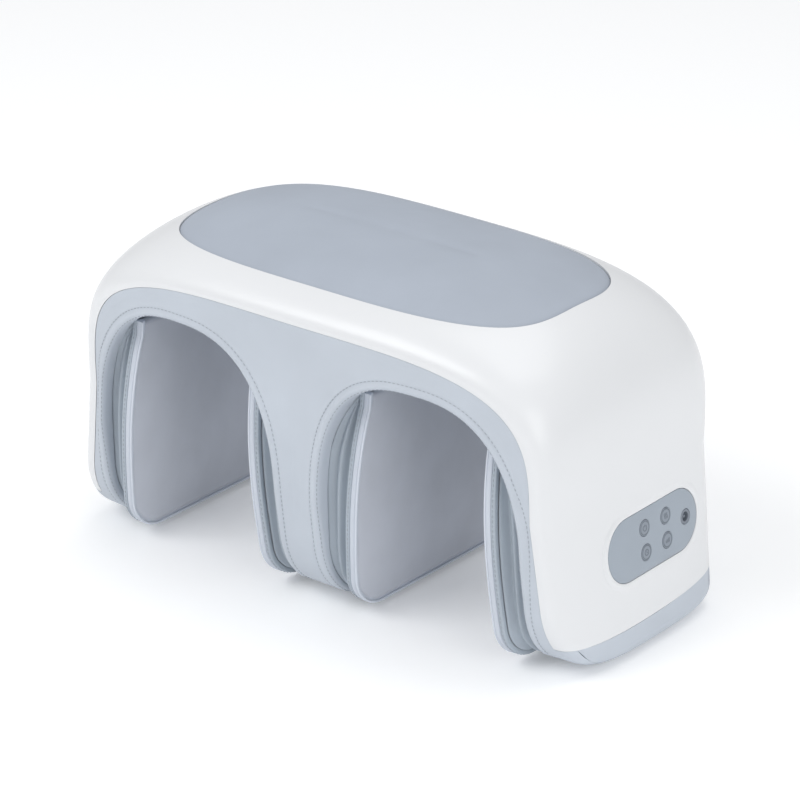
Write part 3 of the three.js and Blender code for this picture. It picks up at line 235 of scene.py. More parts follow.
def combine(piece, operation, other, angle):
    both = piece.modifiers.new("both", "BOOLEAN")
    both.operation = operation
    both.solver = "EXACT"
    both.object = other
    finishMesh(piece, angle)
    bpy.data.objects.remove(other)


def quads(rows, count, base=0, around=True, closed=False):
    # Faces between rows of points. Around joins the ends of a row, and closed joins the
    # last row to the first.
    faces = []
    for i in range(rows if closed else rows - 1):
        near, far = base + i * count, base + (i + 1) % rows * count
        for j in range(count if around else count - 1):
            k = (j + 1) % count
            faces.append((near + j, near + k, far + k, far + j))
    return faces


def ringSolid(name, rings, smoothAngle=40, flatEnds=False):
    # A closed solid from rings of one count, with a fan or one flat face at each end.
    count = len(rings[0])
    verts = [tuple(p) for ring in rings for p in ring]
    faces = quads(len(rings), count)
    for ring, base in ((rings[0], 0), (rings[-1], len(verts) - count)):
        if flatEnds:
            faces.append(range(base, base + count))
            continue
        verts.append(np.mean(np.array(ring, float), axis=0))
        centre = len(verts) - 1
        faces += [(base + j, base + (j + 1) % count, centre) for j in range(count)]
    return addPiece(name, verts, faces, smoothAngle)


def mappedBox(name, counts, pointAt, smoothAngle=40):
    # The skin of a box of cells, each corner placed by pointAt(a, b, c).
    verts, faces, index = [], [], {}
    for axis in range(3):
        u, v = [k for k in range(3) if k != axis]
        for level in (0, counts[axis]):
            for i, j in np.ndindex(counts[u], counts[v]):
                quad = []
                for di, dj in ((0, 0), (1, 0), (1, 1), (0, 1)):
                    key = [0, 0, 0]
                    key[axis], key[u], key[v] = level, i + di, j + dj
                    key = tuple(key)
                    if key not in index:
                        index[key] = len(verts)
                        verts.append(pointAt(*key))
                    quad.append(index[key])
                faces.append(quad)
    return addPiece(name, verts, faces, smoothAngle)


def lathe(name, profile, place, steps=56, smoothAngle=30):
    # A turned solid: profile is (radius, height) from end to end of the axis.
    return ringSolid(name, [[place @ Vector((x, y, height)) for x, y in circle(radius, steps)]
                            for radius, height in profile[1:-1]], smoothAngle)


# Finishes

def setInputs(tree, node, inputs):
    # Each input takes a value, or a link where another node's output is given.
    for name, value in inputs.items():
        if isinstance(value, bpy.types.NodeSocket):
            tree.links.new(value, node.inputs[name])
        else:
            node.inputs[name].default_value = value


def addNode(tree, kind, inputs=None, **settings):
    node = tree.nodes.new(kind)
    for name, value in settings.items():
        setattr(node, name, value)
    setInputs(tree, node, inputs or {})
    return node


def shade(tree, inputs):
    setInputs(tree, tree.nodes["Principled BSDF"], inputs)


def newFinish(name, colour, roughness, more=None):
    material = bpy.data.materials.new(name)
    material.use_nodes = True
    shade(material.node_tree, {"Base Color": (*colour, 1), "Roughness": roughness, **(more or {})})
    return material, material.node_tree


def objectPlace(tree):
    return addNode(tree, "ShaderNodeTexCoord").outputs["Object"]


def noise(tree, scale, detail, stretch=None):
    place = objectPlace(tree)
    if stretch:
        place = addNode(tree, "ShaderNodeMapping", {"Vector": place, "Scale": stretch}).outputs["Vector"]
    inputs = {"Vector": place, "Scale": scale, "Detail": detail}
    return addNode(tree, "ShaderNodeTexNoise", inputs).outputs["Fac"]


def tint(tree, factor, colour, dark, light, low=0.3, high=0.7):
    # The colour wanders between two shares of itself.
    ramp = addNode(tree, "ShaderNodeValToRGB", {"Fac": factor})
    for element, place, share in zip(ramp.color_ramp.elements, (low, high), (dark, light)):
        element.position = place
        element.color = (*(c * share for c in colour), 1)
    shade(tree, {"Base Color": ramp.outputs["Color"]})


def roughen(tree, factor, low, high):
    spread = addNode(tree, "ShaderNodeMapRange", {"Value": factor, "To Min": low, "To Max": high})
    shade(tree, {"Roughness": spread.outputs["Result"]})


def bump(tree, factor, strength, distance, before=None):
    inputs = {"Height": factor, "Strength": strength, "Distance": distance}
    if before:
        inputs["Normal"] = before
    normal = addNode(tree, "ShaderNodeBump", inputs).outputs["Normal"]
    shade(tree, {"Normal": normal})
    return normal


def shellFinish(name, colour):
    material, tree = newFinish(name, colour, 0.34, {
        "Coat Weight": 0.25, "Coat Roughness": 0.18, "IOR": 1.46})
    tint(tree, noise(tree, 9, 2), colour, 0.985, 1)
    roughen(tree, noise(tree, 60, 3), 0.30, 0.38)
    bump(tree, noise(tree, 900, 2), 0.05, 0.05 * mm)
    return material


def leatherFinish(name, colour, grain=700, roughness=0.52, depth=0.12 * mm):
    # Fine pebbled grain over a slow swell, with a faint cloudy tone.
    material, tree = newFinish(name, colour, roughness, {"Specular IOR Level": 0.4})
    cells = addNode(tree, "ShaderNodeTexVoronoi", {"Vector": objectPlace(tree), "Scale": grain},
                    feature="SMOOTH_F1")
    tint(tree, noise(tree, 14, 3), colour, 0.95, 1.03)
    roughen(tree, noise(tree, 80, 3), roughness - 0.05, roughness + 0.06)
    fine = bump(tree, cells.outputs["Distance"], 0.25, depth)
    bump(tree, noise(tree, 45, 3), 0.12, 0.3 * mm, fine)
    return material


def velvetFinish(name, colour):
    # Short soft pile: fine fibres, a brushed cloud of tone and a pale sheen.
    material, tree = newFinish(name, colour, 0.9, {
        "Sheen Weight": 0.45, "Sheen Roughness": 0.4, "Sheen Tint": (0.92, 0.94, 1.0, 1),
        "Specular IOR Level": 0.25})
    brushed = noise(tree, 26, 5, (1, 0.5, 0.35))
    tint(tree, brushed, colour, 0.9, 1.06, 0.35, 0.65)
    fine = bump(tree, noise(tree, 1500, 2), 0.35, 0.18 * mm)
    bump(tree, brushed, 0.15, 0.4 * mm, fine)
    return material


def wovenFinish(name, colour, pitch):
    # Plain weave from two crossed sets of threads.
    material, tree = newFinish(name, colour, 0.85)
    waves = [addNode(tree, "ShaderNodeTexWave", {
        "Vector": objectPlace(tree), "Scale": 0.314 / pitch, "Distortion": 0.6},
        bands_direction=direction).outputs["Fac"] for direction in ("X", "Z")]
    both = addNode(tree, "ShaderNodeMath", {0: waves[0], 1: waves[1]}, operation="MULTIPLY")
    tint(tree, both.outputs["Value"], colour, 0.85, 1.05)
    bump(tree, both.outputs["Value"], 0.4, 0.2 * mm)
    return material


def mouldedFinish(name, colour, roughness, grain=1200, strength=0.12):
    # Spark-eroded plastic or rubber skin.
    material, tree = newFinish(name, colour, roughness)
    tint(tree, noise(tree, 30, 2), colour, 0.97, 1.02)
    roughen(tree, noise(tree, 120, 2), roughness - 0.04, roughness + 0.05)
    bump(tree, noise(tree, grain, 3), strength, 0.08 * mm)
    return material


def metalFinish(name, colour, roughness):
    material, tree = newFinish(name, colour, roughness, {"Metallic": 1})
    roughen(tree, noise(tree, 400, 3), roughness - 0.08, roughness + 0.1)
    bump(tree, noise(tree, 900, 2, (1, 1, 0.05)), 0.15, 0.05 * mm)
    return material


finishes = {
    "shell_white": shellFinish("whiteShell", (0.745, 0.755, 0.77)),
    "fascia_leather": leatherFinish("fasciaLeather", (0.512, 0.555, 0.614)),
    "cushion_leather": leatherFinish("cushionLeather", (0.385, 0.425, 0.490), 620, 0.58, 0.16 * mm),
    "liner_leather": leatherFinish("linerLeather", (0.53, 0.57, 0.63), 760, 0.6),
    "pad_velvet": velvetFinish("padVelvet", (0.51, 0.535, 0.59)),
    "pad_band": leatherFinish("padBandLeather", (0.56, 0.60, 0.67), 760, 0.55),
    "pad_piping": leatherFinish("padPipingLeather", (0.62, 0.66, 0.73), 900, 0.5, 0.06 * mm),
    "gusset_fabric": leatherFinish("gussetLeather", (0.40, 0.45, 0.505), 760, 0.6),
    "airbag_film": mouldedFinish("airbagFilm", (0.10, 0.11, 0.12), 0.6),
    "panel_grey": mouldedFinish("panelGrey", (0.330, 0.375, 0.430), 0.42, 1500, 0.06),
    "key_grey": mouldedFinish("keyGrey", (0.245, 0.280, 0.330), 0.42, 1500, 0.06),
    "mark_grey": mouldedFinish("markGrey", (0.150, 0.175, 0.205), 0.5, 1500, 0.05),
    "socket_dark": mouldedFinish("socketDark", (0.20, 0.225, 0.265), 0.5),
    "frame_plastic": mouldedFinish("framePlastic", (0.62, 0.63, 0.64), 0.6),
    "foot_rubber": mouldedFinish("footRubber", (0.20, 0.22, 0.24), 0.85, 800, 0.3),
    "screw_steel": metalFinish("screwSteel", (0.55, 0.55, 0.54), 0.35),
    "pump_steel": metalFinish("pumpSteel", (0.50, 0.51, 0.52), 0.4),
    "board_green": mouldedFinish("boardGreen", (0.02, 0.13, 0.07), 0.4, 500, 0.3),
    "hose_clear": mouldedFinish("hoseSilicone", (0.70, 0.70, 0.66), 0.45),
    "cell_blue": mouldedFinish("cellWrap", (0.03, 0.12, 0.33), 0.35),
    "block_dark": mouldedFinish("blockDark", (0.05, 0.055, 0.06), 0.5),
    "thread": wovenFinish("seamThread", (0.42, 0.455, 0.505), 0.3 * mm),
}


def paint(piece, finish):
    piece.data.materials.clear()
    piece.data.materials.append(finishes[finish])


def dressPiece(piece, body, finish, replaced=(), slotName=None, across=None):
    # A piece that stretches across a gap has its place baked into its mesh instead of being attached to its
    # body.
    paint(piece, finish)
    if across:
        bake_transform(piece)
    else:
        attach(piece, body)
    slotName or finish
    if replaced:
        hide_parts(*replaced)


def dressNodes():
    # Every carried-over node takes the finish of its own slot.
    slots = {row["node"]: row["material_slot"] for row in frame["record"]["subparts"]}
    for name, node in frame["nodes"].items():
        paint(node, slots[name])


# Camera, floor and light

def faceAlong(piece, place, direction):
    piece.location = place
    piece.rotation_euler = direction.to_track_quat("Z", "Y").to_euler()


def addCamera():
    view = {
        "azimuth": 38.586,
        "elevation": 23.356,
        "distance": 2.786,
        "target": (6.84 * mm, 0, 118.1 * mm),
        "focalPixels": 4266.5,
        "framePixels": 800,
        "sensor": 36,
        "farthest": 20,
    }
    turn, rise = radians(view["azimuth"]), radians(view["elevation"])
    back = Vector((sin(turn) * cos(rise), -cos(turn) * cos(rise), sin(rise)))
    data = bpy.data.cameras.new("photoCamera")
    data.sensor_width = view["sensor"]
    data.lens = view["sensor"] * view["focalPixels"] / view["framePixels"]
    data.clip_end = view["farthest"]
    camera = addObject("photoCamera", data)
    faceAlong(camera, Vector(view["target"]) + back * view["distance"], back)
    bpy.context.scene.camera = camera


def addStudio():
    studio = {
        "half": 4.0,
        "floor": (0.96, 0.965, 0.97),
        "glow": 0.14,
        "air": (0.975, 0.985, 1.0, 1),
        "airStrength": 0.54,
        "aim": (0, 0, 0.1),
    }
    softboxes = {  # place, size and watts
        "keySoftbox": ((-0.9, -1.6, 1.9), (1.6, 1.2), 24),
        "sideSoftbox": ((2.1, -0.7, 1.0), (1.4, 1.4), 13.5),
        "topSoftbox": ((0.2, 0.5, 2.2), (1.8, 1.4), 13),
    }
    mesh = bpy.data.meshes.new("studioFloor")
    corners = [(x * studio["half"], y * studio["half"], 0) for x, y in ((-1, -1), (1, -1), (1, 1), (-1, 1))]
    mesh.from_pydata(corners, [], [(0, 1, 2, 3)])
    material, _ = newFinish("paleFloor", studio["floor"], 0.7, {
        "Emission Color": (1, 1, 1, 1), "Emission Strength": studio["glow"]})
    mesh.materials.append(material)
    addObject("studioFloor", mesh)
    world = bpy.data.worlds.new("studioAir")
    world.use_nodes = True
    setInputs(world.node_tree, world.node_tree.nodes["Background"],
              {"Color": studio["air"], "Strength": studio["airStrength"]})
    bpy.context.scene.world = world
    for name, (place, size, watts) in softboxes.items():
        data = bpy.data.lights.new(name, "AREA")
        data.shape = "RECTANGLE"
        data.size, data.size_y = size
        data.energy = watts
        faceAlong(addObject(name, data), place, Vector(place) - Vector(studio["aim"]))
    bpy.context.scene.view_settings.view_transform = "Standard"
    print("studio: camera, floor and three softboxes")


# White shell

shell = {
    "wall": 2.8 * mm,
    "edgeWall": 1.2 * mm,
    "edgeTaper": 8 * mm,
    "softRim": 0.45 * mm,
    "smoothAngle": 32,
    "lowEdge": 22.7 * mm,
    "lowRise": 4 * mm,
    "lowTilt": 2 * mm,
    "wallSteps": 16,
    "cornerSteps": 44,
    "sections": 72,
}


def lowEdge(y):
    share = y / form["halfDepth"]
    return shell["lowEdge"] + shell["lowRise"] * share ** 2 + shell["lowTilt"] * share


def leatherEdge(share):
    # The top of the leather under the shell's lower edge.
    return lowEdge(share * sideDepth(2 * form["footRadius"], share)) - form["gap"]


def shellSection(share, inset):
    low = form["sole"] + form["footRadius"]
    for _ in range(3):
        low = lowEdge(share * sideDepth(low, share))
    line = skinLine(share, low, inset, shell["wallSteps"], shell["cornerSteps"])
    return [(x, share * endDepth(x, z, share), z) for x, z in line]


def wallAt(share):
    # The wall thins out towards the edge that lies on the leather.
    full = min(1.0, (1 - abs(share)) * form["halfDepth"] / shell["edgeTaper"])
    return shell["edgeWall"] + (shell["wall"] - shell["edgeWall"]) * full


def makeShell():
    # The outer skin from front to rear, then the inner one back again.
    shares = [sin(pi * i / shell["sections"] - pi / 2) for i in range(shell["sections"] + 1)]
    stations = [shellSection(s, 0.0) for s in shares]
    stations += [shellSection(s, wallAt(s)) for s in reversed(shares)]
    count, total = len(stations[0]), len(stations)
    faces = quads(total, count, around=False, closed=True)
    for i in range(shell["sections"]):
        for j in (0, count - 1):
            rows = (i, i + 1, total - 2 - i, total - 1 - i)
            faces.append([row * count + j for row in rows])
    piece = addPiece("whiteShell", [p for station in stations for p in station], faces, 45)
    edge = piece.modifiers.new("softRim", "BEVEL")
    edge.width = shell["softRim"]
    edge.segments = 2
    edge.limit_method = "ANGLE"
    edge.angle_limit = radians(50)
    finishMesh(piece)
    smooth = shell["smoothAngle"]
    combine(piece, "DIFFERENCE", cushionCutter(), smooth)
    combine(piece, "UNION", panelBead(), smooth)
    combine(piece, "DIFFERENCE", recessCutter(), smooth)
    combine(piece, "DIFFERENCE", keyHoleCutter(panel["holeLevels"]), smooth)
    dressPiece(piece, "root", "shell_white", ["outer_shell"])
    print("shell: lofted, cushion pocket and panel recess cut")


def panelSolid(name, levels, steps=24):
    # A round-ended solid in the panel's place, from pairs of growth and height.
    straight = panel["halfLength"] - panel["radius"]
    turns = [(side, pi * i / steps - side * pi / 2) for side in (1, -1) for i in range(steps + 1)]
    rings = []
    for grow, height in levels:
        radius = panel["radius"] + grow
        ring = [(side * straight + radius * cos(turn), radius * sin(turn)) for side, turn in turns]
        rings.append([panelMatrix @ Vector((*place, height)) for place in ring])
    return ringSolid(name, rings, flatEnds=True)


def panelBead():
    # A soft rim round the panel, which stands out where the side curves away.
    bead = {"reach": 6.4 * mm, "top": 2.2 * mm, "drop": 2.0 * mm, "inside": -8 * mm, "low": -1 * mm}
    levels = [(bead["inside"], bead["low"]), (bead["reach"], bead["low"])]
    for share in np.linspace(1, 0, 13):
        levels.append((bead["reach"] * share, bead["top"] - bead["drop"] * share ** 4))
    return panelSolid("panelBead", levels + [(bead["inside"], bead["top"])])


def recessCutter():
    # The recess has a coved border that dies out into the side.
    rim = {"margin": 0.35 * mm, "reach": 5.6 * mm, "rise": 1.1 * mm, "beyond": 4 * mm, "above": 6 * mm}
    low = panel["overlayTop"] - 0.1 * mm
    levels = [(rim["margin"], 0.0)]
    for share in np.linspace(0, 1, 9):
        levels.append((rim["margin"] + rim["reach"] * share, low + rim["rise"] * share ** 0.8))
    grow, height = levels[-1]
    return panelSolid("recessCutter", levels + [(grow + rim["beyond"], height + rim["above"])])


def keyHoleCutter(levels, steps=64):
    # A round bar at each key and at the socket, from pairs of growth and height.
    holes = [(x, y, panel["keyRadius"]) for x, y in keyPlaces]
    holes.append((panel["socketOffset"], 0.0, panel["socketRadius"]))
    verts, faces = [], []
    for x, y, radius in holes:
        base = len(verts)
        for grow, height in levels:
            ring = circle(radius + panel["holeGap"] + grow, steps, x, y)
            verts += [panelMatrix @ Vector((*place, height)) for place in ring]
        faces += quads(len(levels), steps, base)
        faces += [range(base, base + steps), range(len(verts) - steps, len(verts))]
    return addPiece("keyHoleCutter", verts, faces)


# Top cushion

cushion = {
    "halfLength": 148.6 * mm,
    "halfDepth": 79.8 * mm,
    "power": 3.3,
    "crown": 2.5 * mm,
    "crownStart": 0.35,
    "edgeDrop": 1.5 * mm,
    "edgeRound": 7.5 * mm,
    "ridgeSoft": 14 * mm,
    "sunk": 2.2 * mm,
    "cutAbove": 20 * mm,
    "steps": 160,
}


def cushionRing(inset, lift):
    turns = [2 * pi * i / cushion["steps"] for i in range(cushion["steps"])]
    ring = [superPoint(cushion["halfLength"] - inset, cushion["halfDepth"] - inset, cushion["power"], turn)
            for turn in turns]
    return [(x, y, lift(x, y)) for x, y in ring]


def cushionCutter():
    rings = [cushionRing(cushion["halfDepth"] * s, lambda x, y: skinTop(x, y) - cushion["sunk"])
             for s in (0.9, 0.75, 0.5, 0.25, 0.0)]
    rings.append(cushionRing(0.0, lambda x, y: skinTop(x, y) + cushion["cutAbove"]))
    return ringSolid("cushionCutter", rings)


def makeCushion():
    gap, radius, depth = form["gap"], cushion["edgeRound"], cushion["halfDepth"]

    def floorAt(x, y):
        return skinTop(x, y) - cushion["sunk"] + gap

    def above(rise):
        # The shell's ridge line doesn't show through the foam.
        return lambda x, y: skinTop(x, copysign(hypot(y, cushion["ridgeSoft"]), y)) + rise

    rings = [cushionRing(depth * s + gap, floorAt) for s in (0.9, 0.5, 0.2, 0.05)]
    rings.append(cushionRing(gap + 0.4 * mm, floorAt))
    start, drop = cushion["crown"] * cushion["crownStart"], cushion["edgeDrop"]
    for i in range(9):
        turn = pi / 2 * i / 8
        rings.append(cushionRing(gap + radius * (1 - cos(turn)), above((drop + start) * sin(turn) - drop)))
    for i in range(1, 13):
        share = i / 12
        inset = gap + radius + (depth * 0.96 - radius) * share ** 1.3
        full = 1 - (1 - min(1.0, share * 1.6)) ** 2
        rings.append(cushionRing(inset, above(start + (cushion["crown"] - start) * full)))
    piece = ringSolid("topCushion", rings, 50)
    dressPiece(piece, "root", "cushion_leather", ["top_cushion"])
    print("cushion: crowned and seated in its pocket")


# Fascias: a leather board with rolled lips round both arches

fascia = {
    "thickness": 7 * mm,
    "toe": 7 * mm,
    "rounds": {"lip": 4.5 * mm, "flush": 0.0, "toe": 0.4 * mm, "covered": 0.3 * mm},
    "hiddenGap": 0.1 * mm,
    "wallSteps": 7,
    "puff": 0.35 * mm,
    "lift": 4.6 * mm,
    "liftReach": 14 * mm,
    "liftFade": 9 * mm,
    "liftHeights": (35 * mm, 90 * mm),
    "seamInset": 6.6 * mm,
    "seamDepth": 0.5 * mm,
    "seamWidth": 0.8 * mm,
    "stitchRows": ((6.6 * mm, 2 * mm), (0.9 * mm, 4 * mm)),  # inset, and height over the toe
    "stitchProud": 0.12 * mm,
    "stitchSteps": (80, 220),
    "skinSteps": (29, 80),
    "ringInsets": (0.35, 0.8, 1.4, 2.1, 3.0, 4.2, 5.4, 6.2, 6.8, 7.4, 8.4, 10.0),
    "pointSpacing": 2.6 * mm,
    "gridSpacing": 4.0 * mm,
}


def fasciaLines(end):
    # Outer edge from the right toe to the left one, then both arches, in X and Z. Under
    # the shell's edge the leather is flush with the shell, above it the shell covers it.
    hidden = shell["edgeWall"] + fascia["hiddenGap"]
    edge = leatherEdge(end)
    flush = [(skinHalfWidth(1, z), z) for z in np.linspace(fascia["toe"], edge, 10)]
    covered = skinLine(1, edge, hidden, *fascia["skinSteps"])
    lines = [("flush", np.array(flush)), ("covered", spacedOut(covered, fascia["pointSpacing"])),
             ("flush", np.array(mirrored(flush)))]
    for centre in (-tunnel["offset"], tunnel["offset"]):
        arch = archLine(centre, 0.0, fascia["toe"], tunnel["steps"])
        lines.append(("lip", spacedOut(arch[::-1], fascia["pointSpacing"])))
    return lines


def fasciaOutline(lines):
    # The points, the next point of each and the kind of the edge between the two.
    kinds = []
    for (kind, line), (after, _) in zip(lines, lines[1:] + lines[:1]):
        toe = {kind, after} <= {"flush", "lip"}
        kinds += [kind] * (len(line) - 1) + ["toe" if toe else "flush"]
    boundary = np.vstack([line for _, line in lines])
    return boundary, np.roll(boundary, -1, axis=0), np.array(kinds)


def segmentDistance(points, starts, ends):
    # Distance from each point to the nearest of the segments.
    best = np.full(len(points), np.inf)
    for a, b in zip(starts, ends):
        ab = b - a
        t = np.clip(((points - a) @ ab) / max(ab @ ab, 1e-18), 0, 1)
        best = np.minimum(best, np.linalg.norm(points - a - t[:, None] * ab, axis=1))
    return best


def insetRings(boundary, following):
    # Points on lines that run inside the outline, closer together near its edge.
    inward = leftOf(following - np.roll(boundary, 1, axis=0))
    rings = []
    for inset in fascia["ringInsets"]:
        ring = boundary + inward * inset * mm
        rings.append(ring[segmentDistance(ring, boundary, following) > inset * mm * 0.97])
    (left, low), (right, high) = boundary.min(axis=0), boundary.max(axis=0)
    step = fascia["gridSpacing"]
    grid = np.array([(x, z) for x in np.arange(left, right, step) for z in np.arange(low, high, step)])
    deepest = fascia["ringInsets"][-1] * mm + step / 2
    return rings + [grid[segmentDistance(grid, boundary, following) > deepest]]


def eased(values, low, high):
    share = np.clip((values - low) / (high - low), 0, 1)
    return share * share * (3 - 2 * share)


def fasciaFront(places, end, outline, proud=0.0):
    # The front face against the body's end: round edges, the wadding that lifts the lips,
    # puff and seam.
    boundary, following, kinds = outline
    reach = {kind: segmentDistance(places, boundary[kinds == kind], following[kinds == kind])
             for kind in fascia["rounds"]}
    toEdge = np.min(list(reach.values()), axis=0)
    back = np.zeros(len(places))
    for kind, radius in reversed(fascia["rounds"].items()):
        nearest = reach[kind] <= toEdge + 1e-9
        back[nearest] = [drawnIn(radius, d) for d in toEdge[nearest]]
    lift = fascia["lift"] * eased(places[:, 1], *fascia["liftHeights"])
    lift *= np.exp(-(reach["lip"] / fascia["liftReach"]) ** 2)
    lift *= eased(reach["covered"], 0.0, fascia["liftFade"])
    seam = reach["lip"] - fascia["seamInset"]
    puff = np.where(seam < 0, fascia["puff"] * np.sin(pi * reach["lip"] / fascia["seamInset"]), 0.0)
    back += fascia["seamDepth"] * np.exp(-(seam / fascia["seamWidth"]) ** 2) - lift - puff - proud
    return [(x, end * (endDepth(x, z, end) - b), z) for (x, z), b in zip(places, back)]


def fasciaWall(x, z, end, flush, share):
    # A place on the edge face, from the front to the back of the leather board.
    depth = endDepth(x, z, end)
    if not flush:
        return (x, end * (depth - fascia["thickness"] * share), z)
    across = 1 - fascia["thickness"] / depth * share ** 3
    wide = copysign(skinHalfWidth(across, z), x)
    return (wide, end * across * endDepth(wide, z, end), z)


def boardDepths(x, z, gap):
    # The backs of the front and rear boards, less a gap at each.
    return [end * (endDepth(x, z, end) - fascia["thickness"] - gap) for end in (-1, 1)]


def makeFascia(name, node, end):
    lines = fasciaLines(end)
    outline = fasciaOutline(lines)
    boundary, following, _ = outline
    count, steps = len(boundary), fascia["wallSteps"]
    points = np.vstack([boundary, *insetRings(boundary, following)])
    flat = delaunay_2d_cdt([Vector(p) for p in points], [], [list(range(count))], 1, 1e-7)
    places = np.array([tuple(v) for v in flat[0]])
    edgeOf = {source: i for i, found in enumerate(flat[3]) for source in found if source < count}
    verts = fasciaFront(places, end, outline)
    base = len(verts)
    verts += [fasciaWall(x, z, end, False, 1.0) for x, z in places]
    faces = [tuple(f) for f in flat[2]] + [tuple(base + i for i in reversed(f)) for f in flat[2]]
    flush = [kind == "flush" for kind, line in lines for _ in line]
    front, back = [[start + edgeOf[i] for i in range(count)] for start in (0, base)]
    for i, (x, z) in enumerate(boundary):
        verts[back[i]] = fasciaWall(x, z, end, flush[i], 1.0)
    rows = [front]
    for share in np.arange(1, steps) / steps:
        rows.append(range(len(verts), len(verts) + count))
        for i, (x, z) in enumerate(boundary):
            straight = Vector(verts[front[i]]).lerp(Vector(verts[back[i]]), share)
            verts.append(fasciaWall(x, z, end, True, share) if flush[i] else straight)
    rows.append(back)
    for near, far in zip(rows, rows[1:]):
        faces += [(near[i - 1], near[i], far[i], far[i - 1]) for i in range(count)]
    piece = addPiece(name, verts, faces, 42, fineMerge)
    dressPiece(piece, "root", "fascia_leather", [node])
    print(name + ": rolled lips,", len(piece.data.polygons), "faces")


# Leather bottoms of the three legs

legBase = {
    "seam": 0.08 * mm,
    "roundSteps": 12,
    "columns": 10,
    "stations": 64,
}


def makeLegBase(name, node, side):
    clearance = tunnel["halfWidth"] + tunnel["linerSetback"] + tunnel["linerWall"] + form["gap"]
    inside = side * (tunnel["offset"] + clearance) if side else clearance - tunnel["offset"]
    toe = fascia["toe"] - legBase["seam"]
    radius, steps = form["footRadius"], legBase["roundSteps"]
    heights = [form["sole"] + radius * (1 - cos(pi / 2 * i / steps)) for i in range(steps + 1)]
    under = [z for z in heights if z < toe - form["gap"]] + [toe]
    over = [toe] + [z for z in heights if z > toe + form["gap"]] + [None]
    setback = fascia["thickness"] + legBase["seam"]
    rows = [(z, 0.0) for z in under] + [(z, setback) for z in over]

    def pointAt(a, b, c):
        z, behind = rows[a]
        share = sin(pi * c / legBase["stations"] - pi / 2)
        z = leatherEdge(share) if z is None else z
        across = share * (1 - behind / sideDepth(z, share))
        outside = side * skinHalfWidth(across, z) if side else tunnel["offset"] - clearance
        x = inside + (outside - inside) * b / legBase["columns"]
        return (x, share * (endDepth(x, z, share) - behind), z)

    piece = mappedBox(name, (len(rows) - 1, legBase["columns"], legBase["stations"]), pointAt)
    dressPiece(piece, "root", "fascia_leather", [node])


# Tunnel liners

def makeLiner(name, node, side):
    wall = [archLine(side * tunnel["offset"], tunnel["linerSetback"] + more, tunnel["linerFoot"],
                     tunnel["steps"]) for more in (0.0, tunnel["linerWall"])]
    stations = 10

    def pointAt(a, b, c):
        x, z = wall[b][a]
        front, rear = boardDepths(x, z, form["gap"])
        return (x, front + (rear - front) * c / stations, z)

    piece = mappedBox(name, (len(wall[0]) - 1, 1, stations), pointAt, 50)
    dressPiece(piece, "root", "liner_leather", [node])


# Airbag pads

pad = {
    "footHeight": 5 * mm,
    "topHalfDepth": 82 * mm,
    "bottomHalfDepth": 84 * mm,
    "sideBow": 9 * mm,
    "bowPower": 0.8,
    "topRadius": 1.5 * mm,
    "bottomRadius": 26 * mm,
    "halfThickness": 4.6 * mm,
    "runGap": 0.5 * mm,
    "hingeDegrees": 51,
    "leanDegrees": 4,
    "bandStart": 3 * mm,
    "faceInset": 1.3 * mm,
    "topReach": 5.5 * mm,
    "outlineCount": 240,
}

# Half sizes across and out, inset, shift to the leg, power, steps and finish
padTrims = {
    "Band": (2.4 * mm, 2.1 * mm, 2.4 * mm, 1.2 * mm, 4, 28, "pad_band"),
    "Piping": (0.85 * mm, 0.85 * mm, 0.85 * mm, 3.9 * mm, 2, 14, "pad_piping"),
    "Backing": (1.9 * mm, 1.8 * mm, 2.1 * mm, -2.6 * mm, 4, 24, "gusset_fabric"),
}
padSeam = (0.1 * mm, -2.4 * mm)  # inset and shift

padSpots = (
    ("left_outer", "leftOuter", -1, -1),
    ("left_inner", "leftInner", -1, 1),
    ("right_inner", "rightInner", 1, -1),
    ("right_outer", "rightOuter", 1, 1),
)


def hingePoint():
    halfWidth = tunnel["halfWidth"] + tunnel["linerSetback"]
    rise = tunnel["height"] + tunnel["linerSetback"] - tunnel["spring"]
    power = tunnel["power"]
    x, z = superPoint(halfWidth, rise, power, radians(pad["hingeDegrees"]))
    normal = Vector(((x / halfWidth) ** (power - 1) / halfWidth, (z / rise) ** (power - 1) / rise))
    inside = normal.normalized() * (pad["halfThickness"] + pad["runGap"])
    return x - inside.x, tunnel["spring"] + z - inside.y


hingeOffset, hingeHeight = hingePoint()
padLength = (hingeHeight - pad["footHeight"]) / cos(radians(pad["leanDegrees"]))


def padToBody(spot, depth, down, out):
    # A place on a pad, along the depth, down from its hinge and out to the leg.
    centre, side = spot[2] * tunnel["offset"], spot[3]
    lean = radians(pad["leanDegrees"])
    return Vector((centre + side * (hingeOffset + down * sin(lean) - out * cos(lean)),
                   depth, hingeHeight - down * cos(lean) - out * sin(lean)))


def padHalfDepth(down):
    share = down / padLength
    side = pad["topHalfDepth"] + (pad["bottomHalfDepth"] - pad["topHalfDepth"]) * share
    bow = pad["sideBow"] * sin(pi * share ** pad["bowPower"])
    corners = drawnIn(pad["topRadius"], down) + drawnIn(pad["bottomRadius"], padLength - down)
    return side + bow - corners


def padOutline():
    top, bottom = pad["topRadius"], pad["bottomRadius"]
    downs = [top * (1 - cos(pi / 2 * i / 12)) for i in range(12)]
    downs += [top + (padLength - top - bottom) * i / 20 for i in range(20)]
    downs += [padLength - bottom * (1 - sin(pi / 2 * i / 20)) for i in range(21)]
    half = [(padHalfDepth(d), d) for d in downs]
    points = evenly(half + mirrored(half), pad["outlineCount"], closed=True)
    return points, leftOf(np.roll(points, -2, axis=0) - np.roll(points, 2, axis=0))


padRim, padInward = padOutline()


